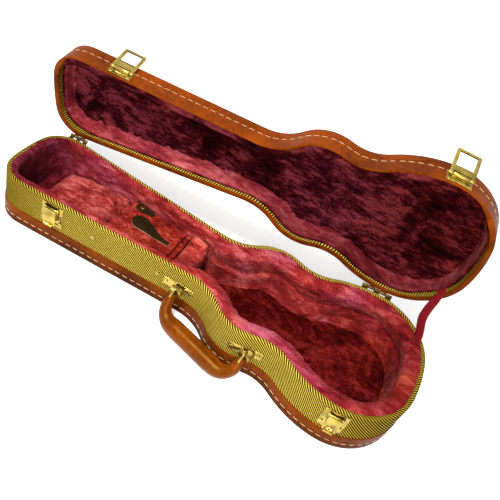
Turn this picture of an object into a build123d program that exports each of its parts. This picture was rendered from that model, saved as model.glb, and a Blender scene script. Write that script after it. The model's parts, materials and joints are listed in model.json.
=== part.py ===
from build123d import *
import os
from math import asin, atan2, cos, degrees, hypot, pi, radians, sin, sqrt

os.makedirs("parts", exist_ok=True)

# A small figure-eight instrument case that lies open on its back. The tray is at the bottom and
# the lid stands open behind it. Millimetres and degrees. X runs along the case, with the head end
# at -X and the lower bout at +X. The handle and the latches are at -Y, the hinges at +Y, and Z is
# up. The origin is on the resting face, on the case's long axis, halfway along it.

# ---- Outline, half of it as seen from above. The other half is its mirror image ----
case_length = 610.0
head_half_width = 64.5
head_end_radius = 300.0
head_corner_radius = 40.0
neck_taper = 3.2
neck_hollow_radius = 65.0
upper_bout_half_width = 85.0
upper_bout_radius = 60.0
upper_bout_from_tail = 228.0
waist_radius = 57.0
lower_bout_half_width = 106.0
lower_bout_radius = 148.0
lower_bout_from_tail = 85.0
tail_corner_radius = 85.0
tail_radius = 235.0

# ---- Heights ----
tray_height = 72.0
lid_height = 37.0
seam = 0.4
lid_open_angle = 84.0

# ---- Sheet and board thicknesses, from the outside of a wall inwards ----
binding = 1.0
tweed = 0.8
ply_wall = 5.0
ply_panel = 4.0
glue = 0.1
binding_height = 26.0
binding_turn = 14.0
tweed_turn = 10.0
lid_tweed_depth = 9.0
rim_round = 2.6
lid_edge_round = 3.0
cover_lift = 0.3

# ---- Padding ----
neck_padding = 7.4
body_padding = 20.0
body_start = -20.0
padding_below_rim = 2.5
floor_padding = 4.5
lid_wall_padding = 5.0
lid_top_padding = 5.0
pad_gap = 0.3

# ---- Head cushion, accessory compartment and neck rest ----
head_recess = 44.0
head_cushion_low = 34.0
head_cushion_high = 57.0
partition = 4.0
partition_ear = 5.0
partition_height = 45.4
head_partition_x = -148.0
neck_partition_x = -52.0
compartment_board = 3.0
compartment_pad = 6.0
compartment_open_gap = 1.0
compartment_side_gap = 2.2
compartment_lift = 0.6
hinge_tape = 0.4
hinge_tape_width = 12.0
ledge_width = 6.0
ledge_height = 4.0
neck_rest_height = 58.0
neck_rest_gap = 2.0
neck_scoop_radius = 42.0
neck_scoop_depth = 9.0

# ---- Leather tab and tongue on the compartment lid, with a press stud ----
leather = 1.6
tongue_length = 66.0
tongue_width = 25.0
tongue_tip_x = -128.0
tongue_y = 4.0
keeper_length = 36.0
keeper_width = 15.0
keeper_tip_x = -138.0
keeper_side_gap = 0.687
stud_radius = 3.2
stud_height = 1.6

# ---- Metal ----
plate = 1.2
rivet_radius = 1.3
rivet_head_radius = 2.6
rivet_head = 1.0
rivet_fit = 0.06
rivet_seat = 0.1
partition_rivet_head_radius = 3.4
partition_rivet_depth = 8.6
pin_fit = 0.06

# ---- Back hinges ----
hinge_offset = 2.6
hinge_knuckle_radius = 2.3
hinge_pin_radius = 1.1
hinge_leaf_height = 17.0
hinge_leaf_gap = 3.2
hinge_widths = {"head": 26.0, "bout": 44.0}
hinge_side_gap = 0.25
hinge_rivet_reach = 14.0

# ---- Draw latches, one near the head and one with a lock at the lower bout ----
latch_x = {"left": -209.0, "right": 226.0}
loop_lean = {"left": 7.0, "right": 14.0}
latch_plate_width = 31.0
latch_plate_drop = 5.5
latch_plate_above_binding = 7.0
lever_width = 17.6
lever_above_plate = 3.5
lever_drop = 8.2
lever_pivot_drop = 9.5
lever_eye_radius = 2.4
lever_saddle = 12.0
lever_cheek_out = 4.9
lever_cheek_drop = 2.6
lever_standoff = 6.4
lever_plate = 1.4
lever_lip = 2.4
lever_flange = 1.0
lever_side_gap = 0.3
lever_pin_radius = 1.2
ear_height = 7.0
loop_width = 31.0
loop_bar = 4.4
loop_end = 3.2
loop_web = {"start": 4.4, "end": 13.0, "thickness": 1.2}
loop_thickness = 2.0
loop_reach = 36.0
loop_pivot_depth = 12.0
loop_pivot_out = 4.0
loop_pivot_radius = 1.3
lid_plate_low = 3.0
lid_plate_high = 19.0
lid_knuckle_radius = 2.6
lock_above_lever = 6.0
lock_radius = 3.7
lock_proud = 0.9
keyhole_width = 1.4
latch_rivet_spacing = 24.8
latch_rivet_above_plate = 7.0
lid_rivet_depth = 6.0

# ---- Handle on the front wall ----
handle_x = {"left": -19.0, "right": 96.0}
handle_z = 45.0
handle_hang = 59.0
handle_drop = 38.5
handle_bend = 22.0
grip_end_radius = 8.2
grip_middle_radius = 11.4
grip_start = 5.2
grip_core_radius = 3.0
bracket_length = 44.0
bracket_height = 13.0
bracket_bridge_length = 16.0
bracket_bridge_height = 6.8
bracket_strip = 1.8
bracket_standoff = 8.8
bracket_rivet_spacing = 37.0
link_radius = 5.5
link_bar = 1.3
link_length = 6.0

# ---- Stay strap at the tail end ----
strap_x = 283.0
strap_width = 15.0
strap_thickness = 1.6
strap_clear = 0.6
strap_below_rim = 13.0
strap_above_rim = 1.5
strap_lean = 22.0
strap_sag = 4.0

# ---- Values that follow from those above ----
head_x = -case_length / 2
tail_x = case_length / 2
shell = binding + tweed + ply_wall + tweed
lid_base = tray_height + seam
partition_rivet_z = partition_height + partition_ear / 2
lid_top = lid_base + lid_height
floor_z = binding + ply_panel + 2 * glue
latch_plate_high = tray_height - latch_plate_drop
latch_plate_low = binding_height + latch_plate_above_binding
lever_top = tray_height - lever_drop
lever_low = latch_plate_low + lever_above_plate
lever_pivot_z = tray_height - lever_pivot_drop
lock_z = lever_low + lock_above_lever
latch_rivet_z = latch_plate_low + latch_rivet_above_plate


# =============================== The outline ===============================

def circles_meet(centre_a, radius_a, centre_b, radius_b, side):
    """The point where two circles cross, on the left (1) or right (-1) of the line from a to b."""
    between = centre_b - centre_a
    along = (radius_a ** 2 - radius_b ** 2 + between.length ** 2) / (2 * between.length)
    across = sqrt(radius_a ** 2 - along ** 2)
    ahead = between.normalized()
    return centre_a + ahead * along + Vector(-ahead.Y, ahead.X) * side * across


def outline_circles():
    """The centres of the outline's tangent arcs, from the head to the tail."""
    taper = radians(neck_taper)
    head_end = Vector(head_x + head_end_radius, 0)
    corner_y = head_half_width - head_corner_radius
    corner_reach = sqrt((head_end_radius - head_corner_radius) ** 2 - corner_y ** 2)
    corner = Vector(head_end.X - corner_reach, corner_y)
    upper = Vector(tail_x - upper_bout_from_tail, upper_bout_half_width - upper_bout_radius)
    lower = Vector(tail_x - lower_bout_from_tail, lower_bout_half_width - lower_bout_radius)
    ahead = Vector(cos(taper), -sin(taper))
    outward = Vector(sin(taper), cos(taper))
    offset = corner + outward * (head_corner_radius + neck_hollow_radius) - upper
    reach = neck_hollow_radius + upper_bout_radius
    back = offset.dot(ahead)
    hollow = upper + offset - ahead * (back + sqrt(back ** 2 - offset.length ** 2 + reach ** 2))
    waist = circles_meet(
        upper, upper_bout_radius + waist_radius, lower, lower_bout_radius + waist_radius, 1
    )
    tail = Vector(tail_x - tail_radius, 0)
    tail_corner = circles_meet(
        lower, lower_bout_radius - tail_corner_radius, tail, tail_radius - tail_corner_radius, -1
    )
    return {
        "head_end": (head_end, head_end_radius), "corner": (corner, head_corner_radius),
        "hollow": (hollow, neck_hollow_radius), "upper": (upper, upper_bout_radius),
        "waist": (waist, waist_radius), "lower": (lower, lower_bout_radius),
        "tail_corner": (tail_corner, tail_corner_radius), "tail": (tail, tail_radius),
    }


circles = outline_circles()


def heading(start, end):
    """The angle of the line from one circle's centre to another's, in radians."""
    step = circles[end][0] - circles[start][0]
    return atan2(step.Y, step.X)


def side_arcs():
    """Each arc of one side: its circle, whether it bulges out, and its first and last angle."""
    taper_side = pi / 2 - radians(neck_taper)
    return [
        ("corner", True, heading("head_end", "corner"), taper_side),
        ("hollow", False, taper_side - pi, heading("hollow", "upper")),
        ("upper", True, heading("upper", "hollow"), heading("upper", "waist")),
        ("waist", False, heading("waist", "upper"), heading("waist", "lower")),
        ("lower", True, heading("lower", "waist"), heading("lower", "tail_corner")),
        ("tail_corner", True, heading("lower", "tail_corner"), heading("tail", "tail_corner")),
    ]


def arc_point(name, bulges, angle, inset):
    """A point on one arc of the outline, set in from the case's outer face by inset."""
    centre, radius = circles[name]
    reach = radius - inset if bulges else radius + inset
    return centre + Vector(cos(angle), sin(angle)) * reach


def outline(inset):
    """The closed outline of the case as a face, set in from its outer face by inset."""
    side = []
    last = None
    for name, bulges, first_angle, last_angle in side_arcs():
        turn = (last_angle - first_angle + pi) % (2 * pi) - pi
        points = [
            arc_point(name, bulges, first_angle + turn * part, inset) for part in (0, 0.5, 1)
        ]
        if name == "hollow":
            side.append(Line(last, points[0]))
        side.append(ThreePointArc(*points))
        last = points[2]
    first = side[0] @ 0
    mirrored = [edge.mirror(Plane.XZ) for edge in side]
    head = ThreePointArc((first.X, -first.Y), (head_x + inset, 0), first)
    tail = ThreePointArc(last, (tail_x - inset, 0), (last.X, -last.Y))
    return make_face([head] + side + [tail] + mirrored)


def slab(inset, low, high):
    """A solid with the case's outline, set in by inset, between two heights."""
    return extrude(Pos(0, 0, low) * outline(inset), amount=high - low, dir=(0, 0, 1))


def rounded(part, low_round=0.0, high_round=0.0):
    """Round a slab's or ring's lowest and highest edges."""
    if low_round:
        part = fillet(part.edges().group_by(Axis.Z)[0], low_round)
    if high_round:
        part = fillet(part.edges().group_by(Axis.Z)[-1], high_round)
    return part


def ring(outer, inner, low, high, low_round=0.0, high_round=0.0):
    """A wall that follows the outline between two insets and two heights."""
    return rounded(slab(outer, low, high) - slab(inner, low, high), low_round, high_round)


def half_width(x, inset=0.0):
    """The outline's half width at x and the wall's slope there, in degrees."""
    last = arc_point("corner", True, pi / 2 - radians(neck_taper), inset)
    for name, bulges, first_angle, last_angle in side_arcs():
        start = arc_point(name, bulges, first_angle, inset)
        end = arc_point(name, bulges, last_angle, inset)
        if name == "hollow" and last.X <= x <= start.X:
            return last.Y + (x - last.X) * (start.Y - last.Y) / (start.X - last.X), -neck_taper
        if start.X <= x <= end.X:
            centre, radius = circles[name]
            reach = radius - inset if bulges else radius + inset
            sign = 1 if bulges else -1
            drop = asin((x - centre.X) / reach)
            return centre.Y + sign * reach * cos(drop), -sign * degrees(drop)
    raise ValueError("no wall at this x")


def wall_frame(x, z, inset, front=True):
    """A plane on the wall: X along the wall, Y up the wall, Z straight out of the case."""
    width, slope = half_width(x, inset)
    turn = radians(slope)
    if front:
        return Plane(origin=(x, -width, z), x_dir=(cos(turn), -sin(turn), 0),
                     z_dir=(-sin(turn), -cos(turn), 0))
    return Plane(origin=(x, width, z), x_dir=(-cos(turn), -sin(turn), 0),
                 z_dir=(-sin(turn), cos(turn), 0))


def block(plane, x_range, y_range, z_range):
    """A box given by its ranges in a plane's own axes."""
    size = [high - low for low, high in (x_range, y_range, z_range)]
    middle = [(high + low) / 2 for low, high in (x_range, y_range, z_range)]
    return plane.location * Pos(*middle) * Box(*size)


def rod(plane, x, y, z_range, radius):
    """A round rod along a plane's normal."""
    low, high = z_range
    return plane.location * Pos(x, y, (low + high) / 2) * Cylinder(radius, high - low)


def cross_rod(plane, x_range, y, z, radius):
    """A round rod along a plane's X axis."""
    low, high = x_range
    turned = Rot(0, 90, 0) * Cylinder(radius, high - low)
    return plane.location * Pos((low + high) / 2, y, z) * turned


def formed_plate(plane, width, y_range, inset):
    """A metal plate that is bent to follow the wall, on the surface at this inset."""
    low = plane.origin.Z + y_range[0]
    high = plane.origin.Z + y_range[1]
    wide = block(plane, (-width / 2, width / 2), y_range, (-15, 15))
    return ring(inset - plate, inset, low, high) & wide


# =============================== Rivets ===============================

def rivet(plane, y, out, inset):
    """A rivet through the wall, with its head's seat at height out, clinched inside."""
    inner = inset + tweed - glue - shell
    seat = out + rivet_seat
    head = rod(plane, 0, y, (seat, seat + rivet_head), rivet_head_radius)
    shank = rod(plane, 0, y, (inner, seat), rivet_radius)
    clinch = rod(plane, 0, y, (inner - 0.6, inner), rivet_radius * 1.5)
    return domed(head, plane) + shank + clinch


def domed(head, plane):
    """Round the outer edge of a rivet's head."""
    rim = head.edges().filter_by(GeomType.CIRCLE).sort_by_distance(
        plane.from_local_coords((0, 0, 60)))[0]
    return fillet(rim, rivet_head * 0.7)


def partition_rivet(plane, y):
    """A large brass rivet that fixes a partition's end to the wall."""
    head = rod(plane, 0, y, (rivet_seat, rivet_seat + rivet_head), partition_rivet_head_radius)
    shank = rod(plane, 0, y, (-partition_rivet_depth, rivet_seat), rivet_radius)
    return domed(head, plane) + shank


def rivet_hole(plane, y, depth=partition_rivet_depth + 0.4):
    """The hole that a rivet passes through."""
    return rod(plane, 0, y, (-depth, depth), rivet_radius + rivet_fit)


# =============================== Hinge line ===============================

def hinge_line():
    """A point on the back hinges' axis and its direction, on the outline's outer tangent."""
    corner, corner_radius = circles["corner"]
    lower, lower_radius = circles["lower"]
    between = lower - corner
    lean = atan2(between.Y, between.X) + asin((lower_radius - corner_radius) / between.length)
    out = Vector(-sin(lean), cos(lean))
    along = Vector(cos(lean), sin(lean))
    touch = {"head": corner + out * corner_radius, "bout": lower + out * lower_radius}
    return {key: point + out * hinge_offset for key, point in touch.items()}, along, out


hinge_points, hinge_along, hinge_out = hinge_line()
hinge_z = tray_height + seam / 2
hinge_axis = Axis(
    (hinge_points["bout"].X, hinge_points["bout"].Y, hinge_z), (hinge_along.X, hinge_along.Y, 0)
)


def opened(part):
    """Swing a piece of the closed lid to where the lid stands open."""
    return part.rotate(hinge_axis, -lid_open_angle)


def strap_pocket(rim):
    """The slot in the padding that one end of the stay strap is sewn into."""
    frame = wall_frame(strap_x, rim, shell + glue, False)
    half = strap_width / 2 + pad_gap
    reach = strap_below_rim + pad_gap
    return block(frame, (-half, half), (-reach, reach), (-strap_thickness - 2 * strap_clear, 2))


# =============================== Tray ===============================

pieces = {}


def clinch_hole(plane, y):
    """Room for a rivet's clinched end in the cloth inside the wall."""
    return rod(plane, 0, y, (-shell - binding, 0), rivet_radius * 1.5 + glue)


def beside(x, offset, z, inset, front=True):
    """A wall frame a short way along the wall from another one."""
    frame = wall_frame(x, z, inset, front)
    return wall_frame(frame.from_local_coords((offset, 0, 0)).X, z, inset, front)


def rivet_places():
    """Every rivet: its group, wall frame and height there, its seat and its frame's inset."""
    places = []
    for side in (-1, 1):
        for x in latch_x.values():
            offset = side * latch_rivet_spacing / 2
            tray_frame = beside(x, offset, 0, binding)
            places.append(("latch_rivets", tray_frame, latch_rivet_z, plate, binding))
            lid_frame = beside(x, offset, lid_base, 0)
            places.append(("lid_latch_rivets", lid_frame, lid_rivet_depth, plate, 0))
        for x in handle_x.values():
            frame = beside(x, side * bracket_rivet_spacing / 2, handle_z, binding)
            places.append(("handle_bracket_rivets", frame, 0, plate, binding))
        for key, width in hinge_widths.items():
            x = hinge_points[key].X + side * width * 0.3
            tray_frame = wall_frame(x, tray_height, binding, False)
            lid_frame = wall_frame(x, lid_base, 0, False)
            places.append(("hinge_rivets", tray_frame, -hinge_rivet_reach, plate, binding))
            places.append(("lid_hinge_rivets", lid_frame, hinge_rivet_reach, plate, 0))
    for x in (head_partition_x, neck_partition_x):
        for front in (True, False):
            frame = wall_frame(x, partition_rivet_z, binding, front)
            places.append(("partition_rivets", frame, 0, 0, binding))
    return places


rivets = rivet_places()
lid_rivet_groups = ("lid_latch_rivets", "lid_hinge_rivets")
tray_holes = [rivet_hole(*place[1:3]) for place in rivets if place[0] not in lid_rivet_groups]
lid_holes = [rivet_hole(*place[1:3]) for place in rivets if place[0] in lid_rivet_groups]


def tray_shell():
    """The bent wall, the back panel and the cloth and leather that cover them."""
    out = binding + tweed + glue
    inner = shell - tweed - glue
    wall = ring(out, inner, binding + glue, tray_height - tweed - glue, 0, rim_round - tweed)
    panel = slab(inner + glue, binding + glue, binding + glue + ply_panel)
    skin = ring(binding, shell, binding + glue, tray_height, 0, rim_round)
    core = ring(binding + tweed, shell - tweed, 0, tray_height - tweed, 0, rim_round - tweed)
    below = ring(binding + tweed, shell + 1, 0, tray_height - tweed_turn)
    band = slab(0, 0, binding_height)
    band = rounded(band, 2.0) - slab(binding, binding, binding_height)
    back = slab(binding_turn + glue, 0, binding)
    pieces["tray_wall"] = wall - tray_holes
    pieces["tray_panel"] = panel
    pieces["tray_tweed"] = skin - core - below - tray_holes
    pieces["tray_binding"] = band - slab(binding_turn, 0, binding)
    pieces["tray_back_cover"] = back


def between_x(low, high):
    """A tall box across the whole case between two places along it."""
    span = 2 * (upper_bout_half_width + lower_bout_half_width)
    return Pos((low + high) / 2, 0, 0) * Box(high - low, span, 4 * (tray_height + lid_height))


def partition_board(x):
    """A board across the tray, fixed to both walls."""
    width = slab(shell + glue, floor_z, partition_height)
    board = width & between_x(x - partition / 2, x + partition / 2)
    ear_top = min(partition_height + partition_ear, tray_height - tweed_turn - glue)
    grip = slab(shell - tweed, partition_height, ear_top)
    ears = grip & between_x(x - partition / 2, x + partition / 2)
    clear = slab(shell + neck_padding, 0, tray_height)
    return board + (ears - clear) - tray_holes


def tray_lining():
    """The plush-covered padding, boards and cushions inside the tray."""
    top = tray_height - padding_below_rim
    outer = shell + glue
    thin = slab(outer + neck_padding, 0, tray_height) & between_x(head_x, body_start)
    thick = slab(outer + body_padding, 0, tray_height) & between_x(body_start, tail_x)
    boards = {
        "head_partition": partition_board(head_partition_x),
        "neck_partition": partition_board(neck_partition_x),
    }
    slots = [
        between_x(x - partition / 2 - glue, x + partition / 2 + glue)
        & Pos(0, 0, -tray_height + partition_height + partition_ear + glue) * Box(
            case_length, 4 * lower_bout_half_width, 2 * tray_height)
        for x in (head_partition_x, neck_partition_x)
    ]
    wall = slab(outer, floor_z + glue, top) - thin - thick - strap_pocket(tray_height)
    pieces["tray_wall_padding"] = wall - slots
    inside = slab(outer + body_padding + pad_gap, floor_z + glue, floor_z + glue + floor_padding)
    pieces["tray_floor_pad"] = inside & between_x(body_start + pad_gap, tail_x)
    pieces.update(boards)


def head_cushion():
    """The sloping cushion that the instrument's head lies on."""
    low_x = head_x + head_recess
    high_x = head_partition_x - partition / 2 - pad_gap
    profile = Plane.XZ * make_face(Polyline(
        (low_x, floor_z + glue), (high_x, floor_z + glue), (high_x, head_cushion_high),
        (low_x, head_cushion_low), close=True))
    wedge = extrude(profile, amount=2 * head_half_width, both=True)
    return wedge & slab(shell + glue + neck_padding + pad_gap, 0, tray_height)


def neck_rest():
    """The cushion with a scoop that the instrument's neck lies in."""
    low_x = neck_partition_x + partition / 2 + neck_rest_gap
    room = slab(shell + glue + neck_padding + pad_gap, floor_z + glue, neck_rest_height)
    scoop_z = neck_rest_height - neck_scoop_depth + neck_scoop_radius
    scoop = Pos(0, 0, scoop_z) * Rot(0, 90, 0) * Cylinder(neck_scoop_radius, case_length)
    return (room & between_x(low_x, body_start - pad_gap)) - scoop


lid_board_low_x = head_partition_x + partition / 2 + compartment_open_gap
lid_board_high_x = neck_partition_x - partition / 2 - compartment_open_gap
lid_board_top = partition_height + compartment_lift


def compartment():
    """The accessory compartment's ledge, hinged board, pad, leather tongue and keeper tab."""
    room = shell + glue + neck_padding
    pad_low = lid_board_top + hinge_tape + 2 * glue
    board_low = lid_board_top - compartment_board
    span = between_x(lid_board_low_x, lid_board_high_x)
    ledge_x = head_partition_x + partition / 2 + glue
    ledge = slab(room + pad_gap, board_low - pad_gap - ledge_height, board_low - pad_gap)
    pieces["compartment_ledge"] = ledge & between_x(ledge_x, ledge_x + ledge_width)
    board = slab(room + compartment_side_gap, board_low, lid_board_top) & span
    pad_top = pad_low + compartment_pad
    pad = slab(room + compartment_side_gap, pad_low, pad_top) & span
    tape = slab(room + compartment_side_gap, lid_board_top + glue, pad_low - glue)
    tape_x = neck_partition_x + partition / 2
    pieces["compartment_hinge_tape"] = tape & between_x(tape_x - hinge_tape_width, tape_x)
    pieces["compartment_board"] = board
    pieces["compartment_pad"] = pad
    seat = pad_top + glue
    tongue = Pos(tongue_tip_x + tongue_length / 2, tongue_y) * SlotOverall(
        tongue_length, tongue_width)
    tongue += Pos(tongue_tip_x + tongue_length * 0.75, tongue_y) * Rectangle(
        tongue_length / 2, tongue_width)
    keeper_room = half_width(keeper_tip_x + keeper_length, room + compartment_side_gap)[0]
    keeper_y = keeper_room - keeper_side_gap - keeper_width / 2
    keeper = Pos(keeper_tip_x + keeper_length / 2, keeper_y) * RectangleRounded(
        keeper_length, keeper_width, keeper_width * 0.3)
    pieces["compartment_tongue"] = extrude(Pos(0, 0, seat) * tongue, amount=leather)
    keeper_body = extrude(Pos(0, 0, seat) * keeper, amount=leather)
    stud_x = keeper_tip_x + keeper_width * 0.6
    post = Pos(stud_x, keeper_y, seat + leather / 2) * Cylinder(stud_radius * 0.4, leather)
    cap = Pos(stud_x, keeper_y, seat + leather + stud_height / 2) * Cylinder(
        stud_radius, stud_height)
    cap = fillet(cap.edges().group_by(Axis.Z)[-1], stud_height * 0.6)
    hole = Pos(stud_x, keeper_y, seat) * Cylinder(stud_radius * 0.4 + glue, 4 * leather)
    pieces["compartment_keeper"] = keeper_body - hole
    pieces["keeper_stud"] = cap + post


# =============================== Lid ===============================

def lid_shell():
    """The lid's bent wall, top panel, leather binding and cloth, modelled closed."""
    inner = shell - tweed - glue
    out = binding + glue
    wall = ring(out, inner, lid_base + binding + glue, lid_top - binding - glue)
    panel_top = lid_top - binding - glue
    panel = slab(inner + glue, panel_top - ply_panel, panel_top)
    block_out = rounded(slab(0, lid_base, lid_top), rim_round * 0.7, lid_edge_round)
    hollow = slab(binding, lid_base + binding, lid_top - binding)
    mouth = slab(shell, lid_base, lid_base + binding)
    window = slab(binding_turn, lid_top - binding, lid_top)
    strip = ring(shell - tweed, shell, lid_base + binding + glue, lid_base + lid_tweed_depth)
    cover = slab(binding_turn + glue, lid_top - binding, lid_top - cover_lift)
    pieces["lid_wall"] = wall - lid_holes
    pieces["lid_panel"] = panel
    pieces["lid_binding"] = block_out - hollow - mouth - window - lid_holes
    pieces["lid_inner_tweed"] = strip - [clinch_hole(*place[1:3]) for place in rivets]
    pieces["lid_top_cover"] = cover
    pad_top = panel_top - ply_panel - glue
    pad_out = shell + glue
    pad_low = lid_base + lid_tweed_depth + glue
    padding = ring(pad_out, pad_out + lid_wall_padding, pad_low, pad_top)
    pieces["lid_wall_padding"] = padding - strap_pocket(lid_base)
    pieces["lid_top_padding"] = slab(
        pad_out + lid_wall_padding + pad_gap, pad_top - lid_top_padding, pad_top)


# =============================== Back hinges ===============================

def hinge(key, width):
    """One hinge: the tray leaf, the lid leaf and the pin, with five knuckles between them."""
    point = hinge_points[key]
    frame = Plane(origin=(point.X, point.Y, hinge_z), x_dir=(-hinge_along.X, -hinge_along.Y, 0),
                  z_dir=(hinge_out.X, hinge_out.Y, 0))
    count = 5
    pitch = width / count
    hole = cross_rod(frame, (-width, width), 0, 0, hinge_pin_radius + pin_fit)
    leaves = {}
    for leaf, inset, down in (("tray", binding, -1), ("lid", 0.0, 1)):
        y_far = down * (hinge_leaf_gap + hinge_leaf_height)
        y_near = down * hinge_leaf_gap
        body = formed_plate(frame, width, sorted((y_near, y_far)), inset)
        wall = slab(inset, hinge_z - tray_height, hinge_z + lid_height)
        for index in range(count):
            if (index % 2 == 0) != (leaf == "tray"):
                continue
            start = -width / 2 + index * pitch + (hinge_side_gap if index else 0)
            end = -width / 2 + (index + 1) * pitch - (hinge_side_gap if index < count - 1 else 0)
            knuckle = cross_rod(frame, (start, end), 0, 0, hinge_knuckle_radius)
            lug = block(frame, (start, end), sorted((0, y_near + down * plate)), (-8, -plate))
            thick = block(frame, (start, end), sorted((0, y_near + down * plate)), (-8, 0))
            band = slab(inset - plate, hinge_z - 9, hinge_z + 9)
            body += knuckle + ((lug & band) + (thick & cross_rod(
                frame, (start, end), 0, 0, hinge_knuckle_radius)) - wall)
            bridge = block(frame, (start, end), sorted((down * 0.6, y_near + down * plate)),
                           (-hinge_knuckle_radius * 0.9 - 3.4, -hinge_knuckle_radius * 0.35))
            body += bridge - wall
        leaves[leaf] = body - hole
    pin = cross_rod(frame, (-width / 2 - 0.5, width / 2 + 0.5), 0, 0, hinge_pin_radius)
    return leaves["tray"], leaves["lid"], pin


def hinges():
    """Both back hinges."""
    tray_leaves, lid_leaves, pins = [], [], []
    for key, width in hinge_widths.items():
        tray_leaf, lid_leaf, pin = hinge(key, width)
        tray_leaves.append(tray_leaf - tray_holes)
        lid_leaves.append(lid_leaf - lid_holes)
        pins.append(pin)
    pieces["hinge_tray_leaves"] = Compound(children=tray_leaves)
    pieces["hinge_lid_leaves"] = Compound(children=lid_leaves)
    pieces["hinge_pins"] = Compound(children=pins)


# =============================== Latches ===============================

def latch_base(x):
    """The tray's latch plate with the two ears that hold the lever's pin."""
    frame = wall_frame(x, 0, binding)
    base = formed_plate(frame, latch_plate_width, (latch_plate_low, latch_plate_high), binding)
    ear_in = lever_width / 2 + lever_side_gap
    wall = slab(binding, 0, tray_height)
    for side in (-1, 1):
        span = sorted((side * ear_in, side * (ear_in + plate)))
        ear = block(frame, span, (lever_pivot_z - ear_height / 2, lever_pivot_z + ear_height / 2),
                    (-2, lever_standoff))
        round_edges = ear.edges().filter_by(Axis(frame.origin, frame.x_dir)).sort_by_distance(
            frame.from_local_coords((0, lever_pivot_z, 60)))[:2]
        base += fillet(round_edges, 2.0) - wall
    pin_z = lever_standoff - lever_flange - lever_pin_radius
    hole = cross_rod(frame, (-20, 20), lever_pivot_z, pin_z, lever_pin_radius + pin_fit)
    return base - hole - tray_holes


def lever_pin_out():
    """How far the lever's pin stands from the wall."""
    return lever_standoff - lever_flange - lever_pin_radius


def latch_pin(x):
    """The lever's pin, through both ears."""
    frame = wall_frame(x, 0, binding)
    reach = lever_width / 2 + lever_side_gap + plate + 0.4
    return cross_rod(frame, (-reach, reach), lever_pivot_z, lever_pin_out(), lever_pin_radius)


def latch_lever(x, locked):
    """The latch's lever: a raised plate with a finger lip, and two flanges that pull the loop."""
    frame = wall_frame(x, 0, binding)
    half = lever_width / 2
    face_out = lever_standoff + lever_plate
    lip_z = lever_low + 1.0
    body = block(frame, (-half, half), (lip_z, lever_top), (lever_standoff, face_out))
    tall = body.edges().filter_by(Axis(frame.origin, frame.z_dir))
    body = fillet(tall, 2.0)
    body += block(frame, (-half * 0.7, half * 0.7), (lever_low, lip_z + lever_plate),
                  (lever_standoff, face_out + lever_lip))
    saddle = lever_pivot_z - lever_saddle
    pivot_out = lever_pin_out()
    for side in (-1, 1):
        span = sorted((side * (half - lever_flange), side * half))
        flange = block(frame, span, (saddle, lever_pivot_z),
                       (pivot_out - lever_eye_radius, lever_standoff))
        eye = cross_rod(frame, span, lever_pivot_z, pivot_out, lever_eye_radius)
        heel = block(frame, span, (lever_pivot_z, lever_top), (pivot_out, lever_standoff))
        cheek = block(frame, span, (saddle - lever_cheek_drop, saddle),
                      (lever_cheek_out, lever_standoff))
        body += flange + eye + heel + cheek
    hole = cross_rod(frame, (-20, 20), lever_pivot_z, lever_pin_out(), lever_pin_radius + pin_fit)
    body -= hole
    if locked:
        body -= rod(frame, 0, lock_z, (0, 20), lock_radius + pin_fit)
    return body


def lock_barrel(x):
    """The lock's barrel with its keyhole, flush with the lever, and its cam behind."""
    frame = wall_frame(x, 0, binding)
    face = lever_standoff + lever_plate + lock_proud
    barrel = rod(frame, 0, lock_z, (3.4, face), lock_radius)
    key_slot = block(frame, (-keyhole_width / 2, keyhole_width / 2),
                     (lock_z - lock_radius * 0.55, lock_z), (face - 3.0, face + 1))
    key_eye = rod(frame, 0, lock_z + 0.6, (face - 3.0, face + 1), keyhole_width)
    cam = block(frame, (-1.6, 1.6), (lock_z - lock_radius - 1.4, lock_z), (2.4, 3.6))
    return barrel - key_slot - key_eye + cam


def lid_latch_plate(x):
    """The lid's latch plate, with a knuckle that holds the loop."""
    frame = wall_frame(x, lid_base, 0)
    base = formed_plate(frame, latch_plate_width + 1, (lid_plate_low, lid_plate_high), 0.0)
    half = loop_width / 2 - loop_bar - 0.8
    wall = slab(0, lid_base, lid_top)
    knuckle = cross_rod(frame, (-half, half), loop_pivot_depth, loop_pivot_out, lid_knuckle_radius)
    foot = block(frame, (-half, half), (loop_pivot_depth - 1.6, loop_pivot_depth + 1.6),
                 (-2, loop_pivot_out))
    hole = cross_rod(frame, (-20, 20), loop_pivot_depth, loop_pivot_out,
                     loop_pivot_radius + pin_fit)
    return base + (foot - wall) + knuckle - hole - lid_holes


def latch_loop(x, lean):
    """The latch's loop, swung back from the lid's mouth and leaning out from the wall."""
    frame = wall_frame(x, lid_base, 0)
    half = loop_width / 2
    inner = half - loop_bar
    thick = (-loop_thickness / 2, loop_thickness / 2)
    flat = Plane.XY
    body = cross_rod(flat, (-half, half), 0, 0, loop_pivot_radius)
    for side in (-1, 1):
        span = sorted((side * inner, side * half))
        arm = block(flat, span, (-0.2, loop_reach + loop_end / 2), thick)
        eye = cross_rod(flat, span, 0, 0, loop_pivot_radius + 1.0)
        body += arm + eye
    end = block(flat, (-half, half), (loop_reach - loop_end / 2, loop_reach + loop_end / 2), thick)
    web = block(flat, (-half, half), (loop_web["start"], loop_web["end"]),
                (-loop_web["thickness"] / 2, loop_web["thickness"] / 2))
    body += end + web
    corners = body.edges().filter_by(Axis.Z).group_by(Axis.Y)[-1]
    body = fillet(corners, loop_end * 0.8)
    pivot = frame.location * Pos(0, loop_pivot_depth, loop_pivot_out)
    return pivot * Rot(lean, 0, 0) * body


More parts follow.
